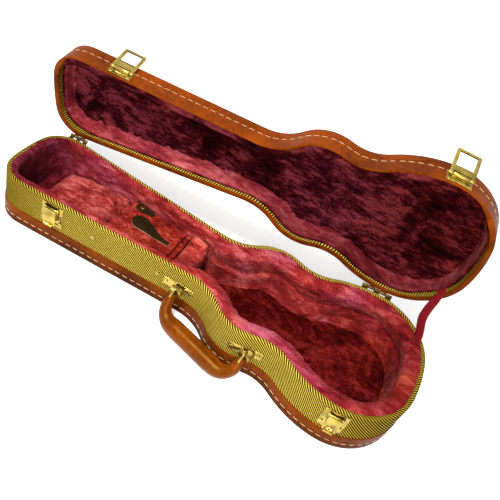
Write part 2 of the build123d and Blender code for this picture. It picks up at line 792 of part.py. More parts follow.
def latches():
    """Both draw latches."""
    pieces["latch_bases"] = Compound(children=[latch_base(x) for x in latch_x.values()])
    pieces["latch_pins"] = Compound(children=[latch_pin(x) for x in latch_x.values()])
    pieces["left_latch_lever"] = latch_lever(latch_x["left"], False)
    pieces["right_latch_lever"] = latch_lever(latch_x["right"], True)
    pieces["lock_barrel"] = lock_barrel(latch_x["right"])
    pieces["lid_latch_plates"] = Compound(
        children=[lid_latch_plate(x) for x in latch_x.values()])
    for key, x in latch_x.items():
        pieces[key + "_latch_loop"] = latch_loop(x, loop_lean[key])


# =============================== Handle ===============================

def handle_posts():
    """The two points where the handle's links go round the brackets' bridges."""
    out = bracket_standoff
    posts = []
    for x in handle_x.values():
        frame = wall_frame(x, handle_z, binding)
        posts.append(frame.from_local_coords((0, 0, out)))
    return posts


def handle_frame():
    """The handle's own plane: X from post to post, Y from the posts to the grip."""
    left, right = handle_posts()
    along = (right - left).normalized()
    level = Vector(along.Y, -along.X, 0)
    hang = radians(handle_hang)
    drop = level * cos(hang) + Vector(0, 0, -1) * sin(hang)
    return Plane(origin=left, x_dir=along, z_dir=along.cross(drop)), (right - left).length


def handle_bracket(x, post):
    """A riveted bracket, bent to the wall, with a raised bridge along the handle's axis."""
    frame = wall_frame(x, handle_z, binding)
    along = handle_frame()[0].x_dir
    bridge = Plane(origin=post, x_dir=along, z_dir=(along.Y, -along.X, 0))
    half_height = bracket_height / 2
    body = formed_plate(frame, bracket_length, (-half_height, half_height), binding)
    half = bracket_bridge_length / 2
    tall = (-bracket_bridge_height / 2, bracket_bridge_height / 2)
    top = (-bracket_strip / 2, bracket_strip / 2)
    wall = slab(binding, 0, tray_height)
    body += block(bridge, (-half, half), tall, top)
    for side in (-1, 1):
        span = sorted((side * half, side * (half - bracket_strip)))
        body += block(bridge, span, tall, (-2 * bracket_standoff, top[1])) - wall
    return body - tray_holes


def link_shape(plane, place, bar):
    """An oval link whose near end is centred on a post."""
    side = plane.location * Pos(place, 0, 0) * Rot(0, 90, 0)
    near = CenterArc((0, 0), link_radius, 180, 180)
    far = CenterArc((0, link_length), link_radius, 0, 180)
    left = Line((-link_radius, 0), (-link_radius, link_length))
    right = Line((link_radius, link_length), (link_radius, 0))
    path = Wire([near, right, far, left])
    section = Plane(origin=(link_radius, 0, 0), z_dir=(0, 1, 0)) * Circle(bar)
    return side * sweep(section, path=path)


def handle():
    """The padded grip, its steel core, its two links and their brackets."""
    plane, pitch = handle_frame()
    path = FilletPolyline((0, grip_start), (0, handle_drop), (pitch, handle_drop),
                          (pitch, grip_start), radius=handle_bend)
    start = Plane(origin=(0, grip_start, 0), z_dir=(0, 1, 0))
    tube = sweep(start * Circle(grip_end_radius), path=path)
    near_x, far_x = handle_bend, pitch - handle_bend
    crown = ThreePointArc((near_x, handle_drop + grip_end_radius),
                          (pitch / 2, handle_drop + grip_middle_radius),
                          (far_x, handle_drop + grip_end_radius))
    base = Polyline((far_x, handle_drop + grip_end_radius), (far_x, handle_drop),
                    (near_x, handle_drop), (near_x, handle_drop + grip_end_radius))
    spindle = revolve(make_face([crown, base]), Axis((0, handle_drop, 0), (1, 0, 0)))
    core_start = link_radius + link_length + link_bar + 2 * glue
    core_path = FilletPolyline((0, core_start), (0, handle_drop), (pitch, handle_drop),
                               (pitch, core_start), radius=handle_bend)
    core_plane = Plane(origin=(0, core_start, 0), z_dir=(0, 1, 0))
    core = sweep(core_plane * Circle(grip_core_radius), path=core_path)
    hollow = sweep(core_plane * Circle(grip_core_radius + glue), path=core_path)
    ends = tube.edges().filter_by(GeomType.CIRCLE).group_by(Axis.Y)[0]
    grip = fillet(ends, 2.0) + spindle - hollow
    links = [link_shape(plane, place, link_bar) for place in (0, pitch)]
    slots = [link_shape(plane, place, link_bar + glue) for place in (0, pitch)]
    pieces["handle_grip"] = plane.location * grip - slots
    pieces["handle_core"] = plane.location * core
    pieces["handle_links"] = Compound(children=links)
    pieces["handle_brackets"] = Compound(children=[
        handle_bracket(x, post) for x, post in zip(handle_x.values(), handle_posts())])


# =============================== Stay strap ===============================

def strap_section(z, lean, lid_side=False):
    """One cross-section of the strap, against the wall's inside, leaning towards the hinges."""
    seat = wall_frame(strap_x, z, shell + glue, False)
    middle = seat.from_local_coords((0, 0, -strap_clear - strap_thickness / 2))
    lean = radians(-lean if lid_side else lean)
    place = Plane(origin=middle, x_dir=seat.x_dir, z_dir=(0, sin(lean), cos(lean)))
    section = place * Rectangle(strap_width, strap_thickness)
    return opened(section) if lid_side else section


def stay_strap():
    """The webbing strap that stops the lid, from inside the tray's wall to inside the lid's."""
    heights = [(-strap_below_rim, 0), (0, 0), (strap_above_rim, strap_lean)]
    tray_side = [strap_section(tray_height + z, lean) for z, lean in heights]
    lid_side = [strap_section(lid_base - z, lean, True) for z, lean in reversed(heights)]
    ends = (tray_side[-1], lid_side[0])
    along = (ends[1].center() - ends[0].center()).normalized()
    level = sum((end.edges().sort_by(Edge.length)[-1] % 0 for end in ends), Vector())
    across = level.cross(along).normalized()
    middle = Plane(origin=(ends[0].center() + ends[1].center()) / 2 + across * strap_sag,
                   x_dir=level, z_dir=along) * Rectangle(strap_width, strap_thickness)
    return loft(tray_side + [middle] + lid_side, ruled=True)


# =============================== Build and write ===============================

tray_shell()
tray_lining()
pieces["head_cushion"] = head_cushion()
pieces["neck_rest"] = neck_rest()
compartment()
lid_shell()
hinges()
latches()
handle()
pieces["stay_strap"] = stay_strap()
for group in sorted({place[0] for place in rivets}):
    places = [place[1:] for place in rivets if place[0] == group]
    if group == "partition_rivets":
        pieces[group] = Compound(children=[partition_rivet(*place[:2]) for place in places])
    else:
        pieces[group] = Compound(children=[rivet(*place) for place in places])

lid_nodes = (
    "lid_wall", "lid_panel", "lid_binding", "lid_inner_tweed", "lid_top_cover",
    "lid_wall_padding", "lid_top_padding", "hinge_lid_leaves", "lid_latch_plates",
    "lid_latch_rivets", "lid_hinge_rivets", "left_latch_loop", "right_latch_loop",
)
for node, piece in pieces.items():
    if node in lid_nodes:
        piece = opened(piece)
    export_step(piece, f"parts/{node}.step")
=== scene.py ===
import json
import math
import random

import bmesh
import bpy
import numpy as np
from mathutils import Matrix, Vector, noise


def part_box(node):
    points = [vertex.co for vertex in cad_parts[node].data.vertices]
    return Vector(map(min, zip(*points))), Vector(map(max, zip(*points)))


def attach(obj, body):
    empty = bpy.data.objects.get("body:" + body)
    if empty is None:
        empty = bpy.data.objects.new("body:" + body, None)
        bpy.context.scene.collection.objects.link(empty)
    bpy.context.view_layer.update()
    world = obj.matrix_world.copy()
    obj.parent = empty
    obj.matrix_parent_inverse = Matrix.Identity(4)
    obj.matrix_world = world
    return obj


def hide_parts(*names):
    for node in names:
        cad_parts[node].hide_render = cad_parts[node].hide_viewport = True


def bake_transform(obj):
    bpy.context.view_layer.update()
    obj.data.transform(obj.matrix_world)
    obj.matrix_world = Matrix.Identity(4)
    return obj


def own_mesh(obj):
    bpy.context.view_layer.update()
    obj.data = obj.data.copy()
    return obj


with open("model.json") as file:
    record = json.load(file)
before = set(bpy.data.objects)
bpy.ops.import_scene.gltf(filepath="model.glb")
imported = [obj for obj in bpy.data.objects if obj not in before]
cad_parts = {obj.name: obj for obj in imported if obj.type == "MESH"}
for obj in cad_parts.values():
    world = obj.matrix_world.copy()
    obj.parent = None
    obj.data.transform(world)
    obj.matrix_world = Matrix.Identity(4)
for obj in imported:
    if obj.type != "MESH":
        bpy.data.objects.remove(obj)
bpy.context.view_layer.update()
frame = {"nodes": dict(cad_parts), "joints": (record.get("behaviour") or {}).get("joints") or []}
nodes = frame["nodes"]
joints = {joint["name"]: joint for joint in frame["joints"]}
random.seed(7)
noise.seed_set(7)
scene = bpy.context.scene
MM = 0.001


# --- Frames ---

def turn_about(joint, degrees):
    """The matrix that turns a joint's child by this many degrees."""
    place = Matrix.Translation(Vector(joint["pos_m"]))
    turn = Matrix.Rotation(math.radians(degrees), 4, Vector(joint["axis"]))
    return place @ turn @ place.inverted()


LID = joints["lid_hinge"]
CLOSE = turn_about(LID, LID["range_deg"][1])
OPEN = CLOSE.inverted()
STAY = Matrix.Identity(4)


def spots_of(mesh):
    """A mesh's vertices as rows of x, y and z."""
    return np.array([v.co for v in mesh.vertices])


def points_of(node, matrix=STAY):
    """A CAD node's vertices, moved by a matrix."""
    m = np.array(matrix)
    return spots_of(nodes[node].data) @ m[:3, :3].T + m[:3, 3]


def extent(mesh):
    """A mesh's lowest and highest corner."""
    return [Vector(end(v.co[i] for v in mesh.vertices) for i in range(3)) for end in (min, max)]


def height_range(node, matrix=STAY):
    """A node's lowest and highest point, after a matrix."""
    z = points_of(node, matrix)[:, 2]
    return float(z.min()), float(z.max())


def cut_through(work, place, normal):
    """The vertices and edges where a plane cuts a bmesh."""
    everything = work.verts[:] + work.edges[:] + work.faces[:]
    cut = bmesh.ops.bisect_plane(work, geom=everything, dist=1e-7, plane_co=place, plane_no=normal)
    return cut["geom_cut"]


def section(node, height, matrix=STAY):
    """The closed loops where a level plane cuts a CAD node, the longest first."""
    work = bmesh.new()
    work.from_mesh(nodes[node].data)
    work.transform(matrix)
    bmesh.ops.remove_doubles(work, verts=work.verts, dist=1e-6)
    links = {}
    for part in cut_through(work, (0, 0, height), (0, 0, 1)):
        if isinstance(part, bmesh.types.BMEdge):
            a, b = part.verts
            links.setdefault(a, []).append(b)
            links.setdefault(b, []).append(a)
    loops = []
    while links:
        spot, loop = next(iter(links)), []
        while spot is not None:
            loop.append(spot)
            spot = next((v for v in links.pop(spot) if v in links), None)
        if len(loop) > 2:
            loops.append(np.array([v.co[:2] for v in loop]))
    work.free()
    return sorted(loops, key=lambda ring: -run_of(closed(ring))[-1])


def closed(ring):
    return np.vstack([ring, ring[:1]])


def run_of(line):
    """How far each point lies along a line."""
    steps = np.linalg.norm(np.diff(line, axis=0), axis=1)
    return np.concatenate([[0], np.cumsum(steps)])


def points_at(line, lengths, values=None):
    """The points at some lengths along a line, or the values given for its points there."""
    at = run_of(line)
    values = line if values is None else values
    return np.stack([np.interp(lengths, at, column) for column in values.T], 1)


def eased(line, times):
    """A line of points made smoother. Its ends stay."""
    for _ in range(times):
        line[1:-1] = 0.5 * line[1:-1] + 0.25 * (line[2:] + line[:-2])
    return line


def unit(rows):
    return rows / np.linalg.norm(rows, axis=1)[:, None]


def area_of(ring):
    """The area in a closed ring, negative if it runs clockwise."""
    x, y = closed(ring).T
    return (x[:-1] * y[1:] - x[1:] * y[:-1]).sum() / 2


class Outline:
    """A smooth closed outline with outward normals, from a section of a CAD node."""

    def __init__(self, loop, count=960):
        loop = loop if area_of(loop) > 0 else loop[::-1]
        first = int(np.argmin(np.abs(loop[:, 1]) + (loop[:, 0] > 0)))
        ring = closed(np.roll(loop, -first, 0))
        self.length = run_of(ring)[-1]
        self.s = np.arange(count) * self.length / count
        flat = points_at(ring, self.s)
        for _ in range(6):
            flat = 0.5 * flat + 0.25 * (np.roll(flat, 1, 0) + np.roll(flat, -1, 0))
        ahead = unit(np.roll(flat, -1, 0) - np.roll(flat, 1, 0))
        out = np.stack([ahead[:, 1], -ahead[:, 0]], 1)
        for _ in range(8):
            out = unit(0.5 * out + 0.25 * (np.roll(out, 1, 0) + np.roll(out, -1, 0)))
        self.flat, self.out, self.count = flat, out, count

    def at(self, s):
        """The point and outward normal at a length s along the outline."""
        k = (s % self.length) / self.length * self.count
        i, f = int(k) % self.count, k % 1
        j = (i + 1) % self.count
        point = self.flat[i] * (1 - f) + self.flat[j] * f
        out = self.out[i] * (1 - f) + self.out[j] * f
        return point, out / np.linalg.norm(out)


# --- Pieces ---

def placed(name, data):
    """A new object in the scene."""
    made = bpy.data.objects.new(name, data)
    scene.collection.objects.link(made)
    return made


def quads(rows, columns, ring=False, base=0):
    """The faces of a grid of vertices. In a ring the last column joins the first."""
    faces = []
    for r in range(rows - 1):
        for c in range(columns if ring else columns - 1):
            a, b = (base + r * columns + k for k in (c, (c + 1) % columns))
            faces.append((a, b, b + columns, a + columns))
    return faces


def tube(rows, columns, base=0):
    """The faces of a tube of vertices, closed at both ends."""
    first, last = (range(base + r * columns, base + (r + 1) * columns) for r in (0, rows - 1))
    return quads(rows, columns, True, base) + [first[::-1], last]


def new_piece(name, spots, faces, material, body, uvs=None, smooth=True, matrix=STAY):
    """A mesh piece that rides on a body. uvs is one pair for each vertex."""
    mesh = bpy.data.meshes.new(name)
    mesh.from_pydata([tuple(p) for p in spots], [], faces)
    if uvs is not None:
        layer = mesh.uv_layers.new(name="UVMap")
        index = [loop.vertex_index for loop in mesh.loops]
        layer.data.foreach_set("uv", np.asarray(uvs, float)[index].ravel())
    mesh.transform(matrix)
    if smooth:
        mesh.shade_smooth()
    mesh.materials.append(material)
    piece = placed(name, mesh)
    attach(piece, body)
    return piece


def skin(name, outline, profile, material, body, matrix=STAY, vary=None):
    """A skin that sweeps a profile of (offset outwards, height) round an outline.

    vary turns an (offset, height) into offsets for each point of the outline, if they differ.
    """
    columns = outline.count + 1
    around = np.arange(columns) % outline.count
    s = np.append(outline.s, outline.length)
    spots, uvs = [], []
    for (offset, height), v in zip(profile, run_of(np.array(profile, float))):
        offsets = vary(offset, height)[around] if vary else np.full(columns, offset)
        ring = outline.flat[around] + outline.out[around] * offsets[:, None]
        spots.append(np.column_stack([ring, np.full(columns, height)]))
        uvs.append(np.column_stack([s, np.full(columns, v)]))
    faces = quads(len(profile), columns)
    return new_piece(name, np.vstack(spots), faces, material, body, np.vstack(uvs), matrix=matrix)


def arc(centre, radius, first, last, steps):
    """Points on an arc of a profile, between two angles in degrees."""
    angles = np.radians(np.linspace(first, last, steps))
    return [(centre[0] + radius * math.cos(a), centre[1] + radius * math.sin(a)) for a in angles]


def run(first, last, steps):
    """Evenly spaced points of a profile between two places."""
    return [(first[0] + (last[0] - first[0]) * t, first[1] + (last[1] - first[1]) * t)
            for t in np.linspace(0, 1, steps)]


def step(a, b, x):
    """A smooth step from 0 at a to 1 at b."""
    t = min(max((x - a) / (b - a), 0.0), 1.0)
    return t * t * (3 - 2 * t)


# --- Materials ---

class Graph:
    """A node tree built step by step. A value is a number, a colour or another node's output."""

    def __init__(self, tree):
        self.tree = tree

    def put(self, socket, value):
        if isinstance(value, bpy.types.NodeSocket):
            self.tree.links.new(value, socket)
        elif socket.type == "RGBA":
            socket.default_value = (*value, 1)
        else:
            socket.default_value = value

    def node(self, kind, **values):
        """A new node. Its settings and its sockets are both given by name."""
        made = self.tree.nodes.new(kind)
        for key, value in values.items():
            if hasattr(made, key):
                setattr(made, key, value)
            else:
                self.put(made.inputs[key], value)
        return made

    def coordinates(self, kind):
        return self.node("ShaderNodeTexCoord").outputs[kind]

    def axes(self, vector):
        return self.node("ShaderNodeSeparateXYZ", Vector=vector).outputs

    def math(self, operation, *values):
        made = self.node("ShaderNodeMath", operation=operation)
        for socket, value in zip(made.inputs, values):
            self.put(socket, value)
        return made.outputs[0]

    def total(self, *terms):
        """The sum of (value, weight) terms."""
        whole = None
        for value, weight in terms:
            part = value if weight == 1 else self.math("MULTIPLY", value, weight)
            whole = part if whole is None else self.math("ADD", whole, part)
        return whole

    def swing(self, noise, width):
        """A noise moved to lie round zero, this wide."""
        return self.math("MULTIPLY", self.math("SUBTRACT", noise, 0.5), width)

    def wave(self, value, period):
        """A sine hump over each period."""
        share = self.math("FRACT", self.math("DIVIDE", value, period))
        return self.math("SINE", self.math("MULTIPLY", share, math.pi))

    def past(self, value, start, reach):
        """0 where the value is at the start, 1 where it is the reach further."""
        return self.math("DIVIDE", self.math("SUBTRACT", value, start), reach)

    def noise(self, vector, scale, detail=3.0, roughness=0.55, distortion=0.0):
        made = self.node("ShaderNodeTexNoise", Vector=vector, Scale=scale, Detail=detail,
                         Roughness=roughness, Distortion=distortion)
        return made.outputs["Fac"]

    def stretched(self, vector, scale):
        return self.node("ShaderNodeMapping", Vector=vector, Scale=scale).outputs[0]

    def ramp(self, factor, *stops):
        """A ramp of (place, colour or grey level) stops."""
        made = self.node("ShaderNodeValToRGB", Fac=factor)
        while len(made.color_ramp.elements) < len(stops):
            made.color_ramp.elements.new(0.5)
        for element, (place, colour) in zip(made.color_ramp.elements, stops):
            element.position = place
            element.color = (*(colour if isinstance(colour, tuple) else (colour,) * 3), 1)
        return made.outputs[0]

    def mix(self, factor, a, b, kind="MIX"):
        made = self.node("ShaderNodeMix", data_type="RGBA", blend_type=kind)
        for index, value in ((0, factor), (6, a), (7, b)):
            self.put(made.inputs[index], value)
        return made.outputs[2]

    def tinted(self, colour, tint):
        return self.mix(1.0, colour, tint, "MULTIPLY")

    def bump(self, height, strength, distance):
        made = self.node("ShaderNodeBump", Height=height, Strength=strength, Distance=distance)
        return made.outputs[0]

    def seen(self):
        """1 for rays from the camera and those that metal and glass send on, else 0."""
        path = self.node("ShaderNodeLightPath").outputs
        most = self.math("MAXIMUM", path["Is Camera Ray"], path["Is Glossy Ray"])
        return self.math("MAXIMUM", most, path["Is Transmission Ray"])


class Look(Graph):
    """A node material."""

    def __init__(self, name):
        self.material = bpy.data.materials.new(name)
        self.material.use_nodes = True
        super().__init__(self.material.node_tree)

    def finish(self, **values):
        """Set or link the shader's sockets and give the material."""
        for key, value in values.items():
            self.put(self.tree.nodes["Principled BSDF"].inputs[key.replace("_", " ")], value)
        return self.material


WHITE = (1, 1, 1)
TWEED_YARN = (0.40, 0.2736, 0.008), (0.56, 0.3984, 0.017)
# Painted highlight: the near-white cream laid along the crown of each twill ridge.
TWEED_CROWN_HIGHLIGHT = (1.0, 0.8256, 0.18)
TWEED_LINE = (0.014, 0.004, 0.0004), (0.065, 0.021, 0.001)
# Painted shade: towards each end of the case, from the start and over the reach given in TWEED_ENDS,
# the tweed's colour is multiplied down to this.
TWEED_END_SHADE = (0.66, 0.62, 0.45)
TWEED_ENDS = (195 * MM, 60 * MM), (-205 * MM, -60 * MM)


def tweed_look(name, pitch=3.0 * MM, lean=1.0, share=0.78):
    """Yellow twill with dark diagonal lines, broken by the weft, with a painted highlight on each
    ridge's crown. Towards the case's ends it is darker: painted shade.
    """
    look = Look(name)
    where = look.coordinates("UV")
    u, v = look.axes(where)[:2]
    shake = look.swing(look.noise(where, 320.0, 2.0), 0.6 * MM)
    ridge = look.wave(look.total((u, 1), (v, lean), (shake, 1)), pitch * math.sqrt(2))
    weft = look.wave(v, pitch * 0.47)
    broken = look.total((ridge, 0.92), (weft, 0.08))
    yarn = look.noise(look.stretched(where, (700.0, 1100.0, 900.0)), 1.0, 2.0)
    light = look.ramp(look.noise(where, 14.0, 4.0), (0.32, TWEED_YARN[0]), (0.68, TWEED_YARN[1]))
    # A painted highlight along the crown of each ridge, broken up by the yarn.
    crown_highlight = look.ramp(broken, (0.86, 0.0), (1.0, 1.0))
    crown_highlight = look.math("MULTIPLY", crown_highlight, look.math("ADD", yarn, 0.25))
    light = look.mix(crown_highlight, light, TWEED_CROWN_HIGHLIGHT)
    dark = look.ramp(yarn, (0.3, TWEED_LINE[0]), (0.8, TWEED_LINE[1]))
    colour = look.mix(look.ramp(broken, (share, 0.0), (share + 0.08, 1.0)), dark, light)
    along = look.axes(look.coordinates("Object"))[0]
    # Painted shade, darker towards each end of the case.
    for start, reach in TWEED_ENDS:
        end_shade = look.ramp(look.past(along, start, reach), (0.0, WHITE), (1.0, TWEED_END_SHADE))
        colour = look.tinted(colour, end_shade)
    normal = look.bump(look.total((ridge, 0.7), (weft, 0.3)), 0.7, 0.4 * MM)
    return look.finish(Base_Color=colour, Normal=normal, Roughness=0.85, Specular_IOR_Level=0.01,
                       Specular_Tint=(1.0, 0.85, 0.4))


def leather_look(name, dark, light, roughness=(0.34, 0.5), gloss=0.10, shade_height=None):
    """Waxed leather with a fine grain and worn, uneven colour. If a shade height is given, it is
    darker below it: painted shade towards the foot.
    """
    look = Look(name)
    where = look.coordinates("Object")
    broad = look.noise(where, 16.0, 4.0, 0.6)
    fine = look.noise(where, 190.0, 3.0)
    colour = look.ramp(look.total((broad, 0.65), (fine, 0.35)), (0.34, dark), (0.66, light))
    # Painted shade: darker towards the foot, below the shade height.
    if shade_height:
        foot = look.math("DIVIDE", look.axes(where)[2], shade_height)
        foot = look.total((foot, 1), (look.swing(broad, 0.7), 1))
        colour = look.tinted(colour, look.ramp(foot, (0.05, 0.34), (0.75, 1.0)))
    cells = look.node("ShaderNodeTexVoronoi", feature="DISTANCE_TO_EDGE", Vector=where, Scale=1500.0)
    pores = look.ramp(cells.outputs["Distance"], (0.0, 0.0), (0.25, 1.0))
    normal = look.bump(look.total((pores, 0.5), (fine, 1)), 0.35, 0.12 * MM)
    rough = look.ramp(fine, (0.3, roughness[0]), (0.75, roughness[1]))
    return look.finish(Base_Color=colour, Roughness=rough, Normal=normal, Specular_IOR_Level=gloss,
                       Specular_Tint=(1.0, 0.62, 0.14))


def plush_look(name, deep, body, bloom, sheen, spread, cool=(0.85, 0.85, 1.5), comb=0.32, ends=()):
    """Crushed plush: combed pile in streaks and patches, some dark, some that catch the light.

    In some patches the red turns cooler, by the factors in cool. A smaller comb draws longer
    streaks. Each of ends is (axis, place, reach, shade), in millimetres: past that place along
    that axis the colour changes by the shade.
    """
    look = Look(name)
    where = look.coordinates("Object")
    patch = look.noise(look.stretched(where, (0.7, 1.0, 1.0)), 22.0, 3.0, 0.55, 1.2)
    streak = look.noise(look.stretched(where, (comb, 1.0, 1.0)), 150.0, 3.0, 0.65, 0.6)
    fibre = look.noise(look.stretched(where, (0.4, 1.0, 1.0)), 900.0, 2.0, 0.6)
    lie = look.total((patch, 0.42), (streak, 0.36), (fibre, 0.22))
    colour = look.ramp(lie, (0.5 - spread, deep), (0.5, body), (0.5 + spread, bloom))
    cold = look.ramp(look.noise(where, 9.0, 2.0, 0.5, 0.5), (0.42, 0.0), (0.60, 1.0))
    colour = look.mix(cold, colour, look.tinted(colour, cool))
    axes = look.axes(where)
    # Painted shade and painted light by place: past each end the colour is multiplied by its shade,
    # darker where the factors are below 1, lighter where they are above.
    for axis, place, reach, shade in ends:
        past = look.past(axes["XYZ".index(axis)], place * MM, reach * MM)
        past = look.total((past, 1), (look.swing(patch, 0.8), 1))
        colour = look.tinted(colour, look.ramp(past, (0.0, WHITE), (1.0, shade)))
    normal = look.bump(look.total((streak, 0.8), (fibre, 0.5)), 0.8, 2.2 * MM)
    return look.finish(Base_Color=colour, Normal=normal, Roughness=0.95, Specular_IOR_Level=0.01,
                       Sheen_Weight=sheen, Sheen_Roughness=0.4, Sheen_Tint=(1.0, 0.36, 0.30))


def metal_look(name, colour, worn, roughness=(0.14, 0.34)):
    """Bright plated metal with hand marks and fine scratches."""
    look = Look(name)
    where = look.coordinates("Object")
    cloud = look.noise(where, 70.0, 4.0)
    scratch = look.noise(look.stretched(where, (1.0, 1.0, 0.12)), 2600.0, 2.0)
    return look.finish(Base_Color=look.ramp(cloud, (0.3, worn), (0.6, colour)),
                       Roughness=look.ramp(cloud, (0.3, roughness[1]), (0.7, roughness[0])),
                       Normal=look.bump(scratch, 0.12, 0.08 * MM), Metallic=1.0)


def cloth_look(name, dark, light, ribs):
    """A plain ribbed web, with this many ribs to the metre."""
    look = Look(name)
    where = look.coordinates("UV")
    across, along = look.axes(where)[:2]
    rib = look.math("SINE", look.math("MULTIPLY", along, ribs * 2 * math.pi))
    cord = look.math("SINE", look.math("MULTIPLY", across, ribs * 3.2 * math.pi))
    weave = look.total((rib, 0.5), (cord, 0.35))
    shade = look.total((weave, 0.3), (look.noise(where, 400.0, 3.0), 1))
    return look.finish(Base_Color=look.ramp(shade, (0.25, dark), (0.75, light)),
                       Normal=look.bump(weave, 0.6, 0.3 * MM), Roughness=0.8, Specular_IOR_Level=0.1)


def wood_look(name):
    """Bent ply, seen nowhere but at the cut edges."""
    look = Look(name)
    grain = look.noise(look.stretched(look.coordinates("Object"), (8.0, 60.0, 240.0)), 1.0, 5.0)
    colour = look.ramp(grain, (0.3, (0.30, 0.17, 0.07)), (0.7, (0.56, 0.38, 0.19)))
    return look.finish(Base_Color=colour, Normal=look.bump(grain, 0.3, 0.3 * MM), Roughness=0.6)


TWEED = tweed_look("tweed_wall")
TWEED_MOUTH = tweed_look("tweed_mouth", 2.7 * MM, -0.25, 0.80)
LEATHER = leather_look("lid_leather", (0.066, 0.010, 0.0002), (0.28, 0.048, 0.0005))
# The band is a darker copy of the lid's leather, and darker still towards its foot: painted shade.
BAND = leather_look("band_leather", (0.060, 0.009, 0.0001), (0.23, 0.045, 0.0004), gloss=0.04,
                    shade_height=26.0 * MM)
GRIP = leather_look("grip", (0.072, 0.011, 0.0002), (0.21, 0.041, 0.0006), (0.24, 0.38), 0.34)
DARK = leather_look("tongue", (0.008, 0.004, 0.002), (0.030, 0.018, 0.006))
EDGE = leather_look("tongue_edge", (0.42, 0.22, 0.16), (0.62, 0.36, 0.28))
# One red plush in lit and shaded copies. PLUSH_ROLL and PLUSH_REST are lighter: painted light.
# PLUSH_FLOOR and PLUSH_LID are darker: painted shade. The ends darken the plush along the case:
# painted shade. The last end of PLUSH_WALL lightens the near roll: painted light.
PLUSH_WALL = plush_look(
    "plush_wall", (0.085, 0.003, 0.004), (0.30, 0.022, 0.020), (0.60, 0.135, 0.110), 0.12, 0.13,
    ends=[("X", 185, 75, (0.76, 0.56, 0.42)), ("X", -240, -40, (0.42, 0.32, 0.42)),
          ("Y", -40, -25, (1.08, 1.1, 1.15))])
PLUSH_ROLL = plush_look(
    "plush_roll", (0.17, 0.009, 0.012), (0.52, 0.048, 0.046), (0.86, 0.26, 0.22), 0.20, 0.14,
    ends=[("X", 175, 70, (0.46, 0.26, 0.22)), ("X", -240, -40, (0.45, 0.36, 0.45))])
PLUSH_FLOOR = plush_look(
    "plush_floor", (0.014, 0.0005, 0.0005), (0.070, 0.0025, 0.002), (0.20, 0.015, 0.014), 0.05, 0.10,
    (1.0, 0.9, 1.0), 0.8, [("X", -205, -60, (0.8, 0.9, 1.5))])
PLUSH_HEAD = plush_look(
    "plush_head", (0.085, 0.003, 0.005), (0.31, 0.026, 0.024), (0.58, 0.135, 0.115), 0.18, 0.10,
    (1.05, 1.1, 1.1))
PLUSH_REST = plush_look(
    "plush_rest", (0.12, 0.006, 0.006), (0.42, 0.042, 0.032), (0.78, 0.20, 0.15), 0.18, 0.11,
    (1.05, 1.1, 1.1))
PLUSH_NECK = plush_look(
    "plush_neck", (0.035, 0.0015, 0.001), (0.25, 0.015, 0.009), (0.58, 0.105, 0.062), 0.10, 0.12,
    (0.9, 0.9, 1.3), 0.6)
PLUSH_LID = plush_look(
    "plush_lid", (0.005, 0.0004, 0.001), (0.045, 0.0025, 0.0045), (0.22, 0.030, 0.034), 0.03, 0.095,
    (0.9, 0.9, 1.3), 0.35, [("X", 130, 90, (0.76, 0.62, 0.55))])
PLUSH_LID_WALL = plush_look(
    "plush_lid_wall", (0.060, 0.003, 0.006), (0.26, 0.024, 0.030), (0.54, 0.13, 0.125), 0.15, 0.14,
    (1.0, 1.0, 1.15), ends=[("X", -70, 190, (0.45, 0.40, 0.40))])
GOLD = metal_look("gold", (0.50, 0.38, 0.080), (0.25, 0.165, 0.024), (0.15, 0.32))
# Painted shade: the hinge metal is the gold darkened to a shadowed brown.
SHADED_HINGE_GOLD = metal_look("shade_darkened_gold", (0.13, 0.068, 0.017), (0.06, 0.028, 0.006), (0.35, 0.55))
LOCK = metal_look("lock", (0.86, 0.68, 0.26), (0.56, 0.42, 0.14))
WEB = cloth_look("webbing", (0.08, 0.002, 0.004), (0.30, 0.010, 0.018), 500.0)
WOOD = wood_look("ply")
THREAD = cloth_look("thread", (0.74, 0.42, 0.19), (0.95, 0.72, 0.44), 2500.0)


# --- The case's sizes ---

TRAY_TOP = height_range("tray_tweed")[1]
BAND_TOP = height_range("tray_binding")[1]
LID_LOW, LID_TOP = height_range("lid_binding", CLOSE)
STRIP_TOP = height_range("lid_inner_tweed", CLOSE)[1]
LID_LINING_TOP = height_range("lid_wall_padding", CLOSE)[1]
PANEL_TOP = height_range("tray_panel")[1]
BINDING = 1.0 * MM
SHELL = 7.6 * MM
TURN = 14.0 * MM
RIM_ROUND = 2.6 * MM
STITCH_Z = 10.8 * MM
LID_STITCH_Z = LID_LOW + 20.6 * MM

tray_line = Outline(section("tray_binding", BAND_TOP * 0.6)[0])
lid_line = Outline(section("lid_binding", (LID_LOW + LID_TOP) / 2, CLOSE)[0])


# --- Cloth and leather skins ---

def groove(height, depth=0.35 * MM, reach=1.3 * MM):
    """A shallow groove up a wall's profile, where a row of stitches pulls the leather in."""
    return [(0.0, height - reach), (-depth, height), (0.0, height + reach)]


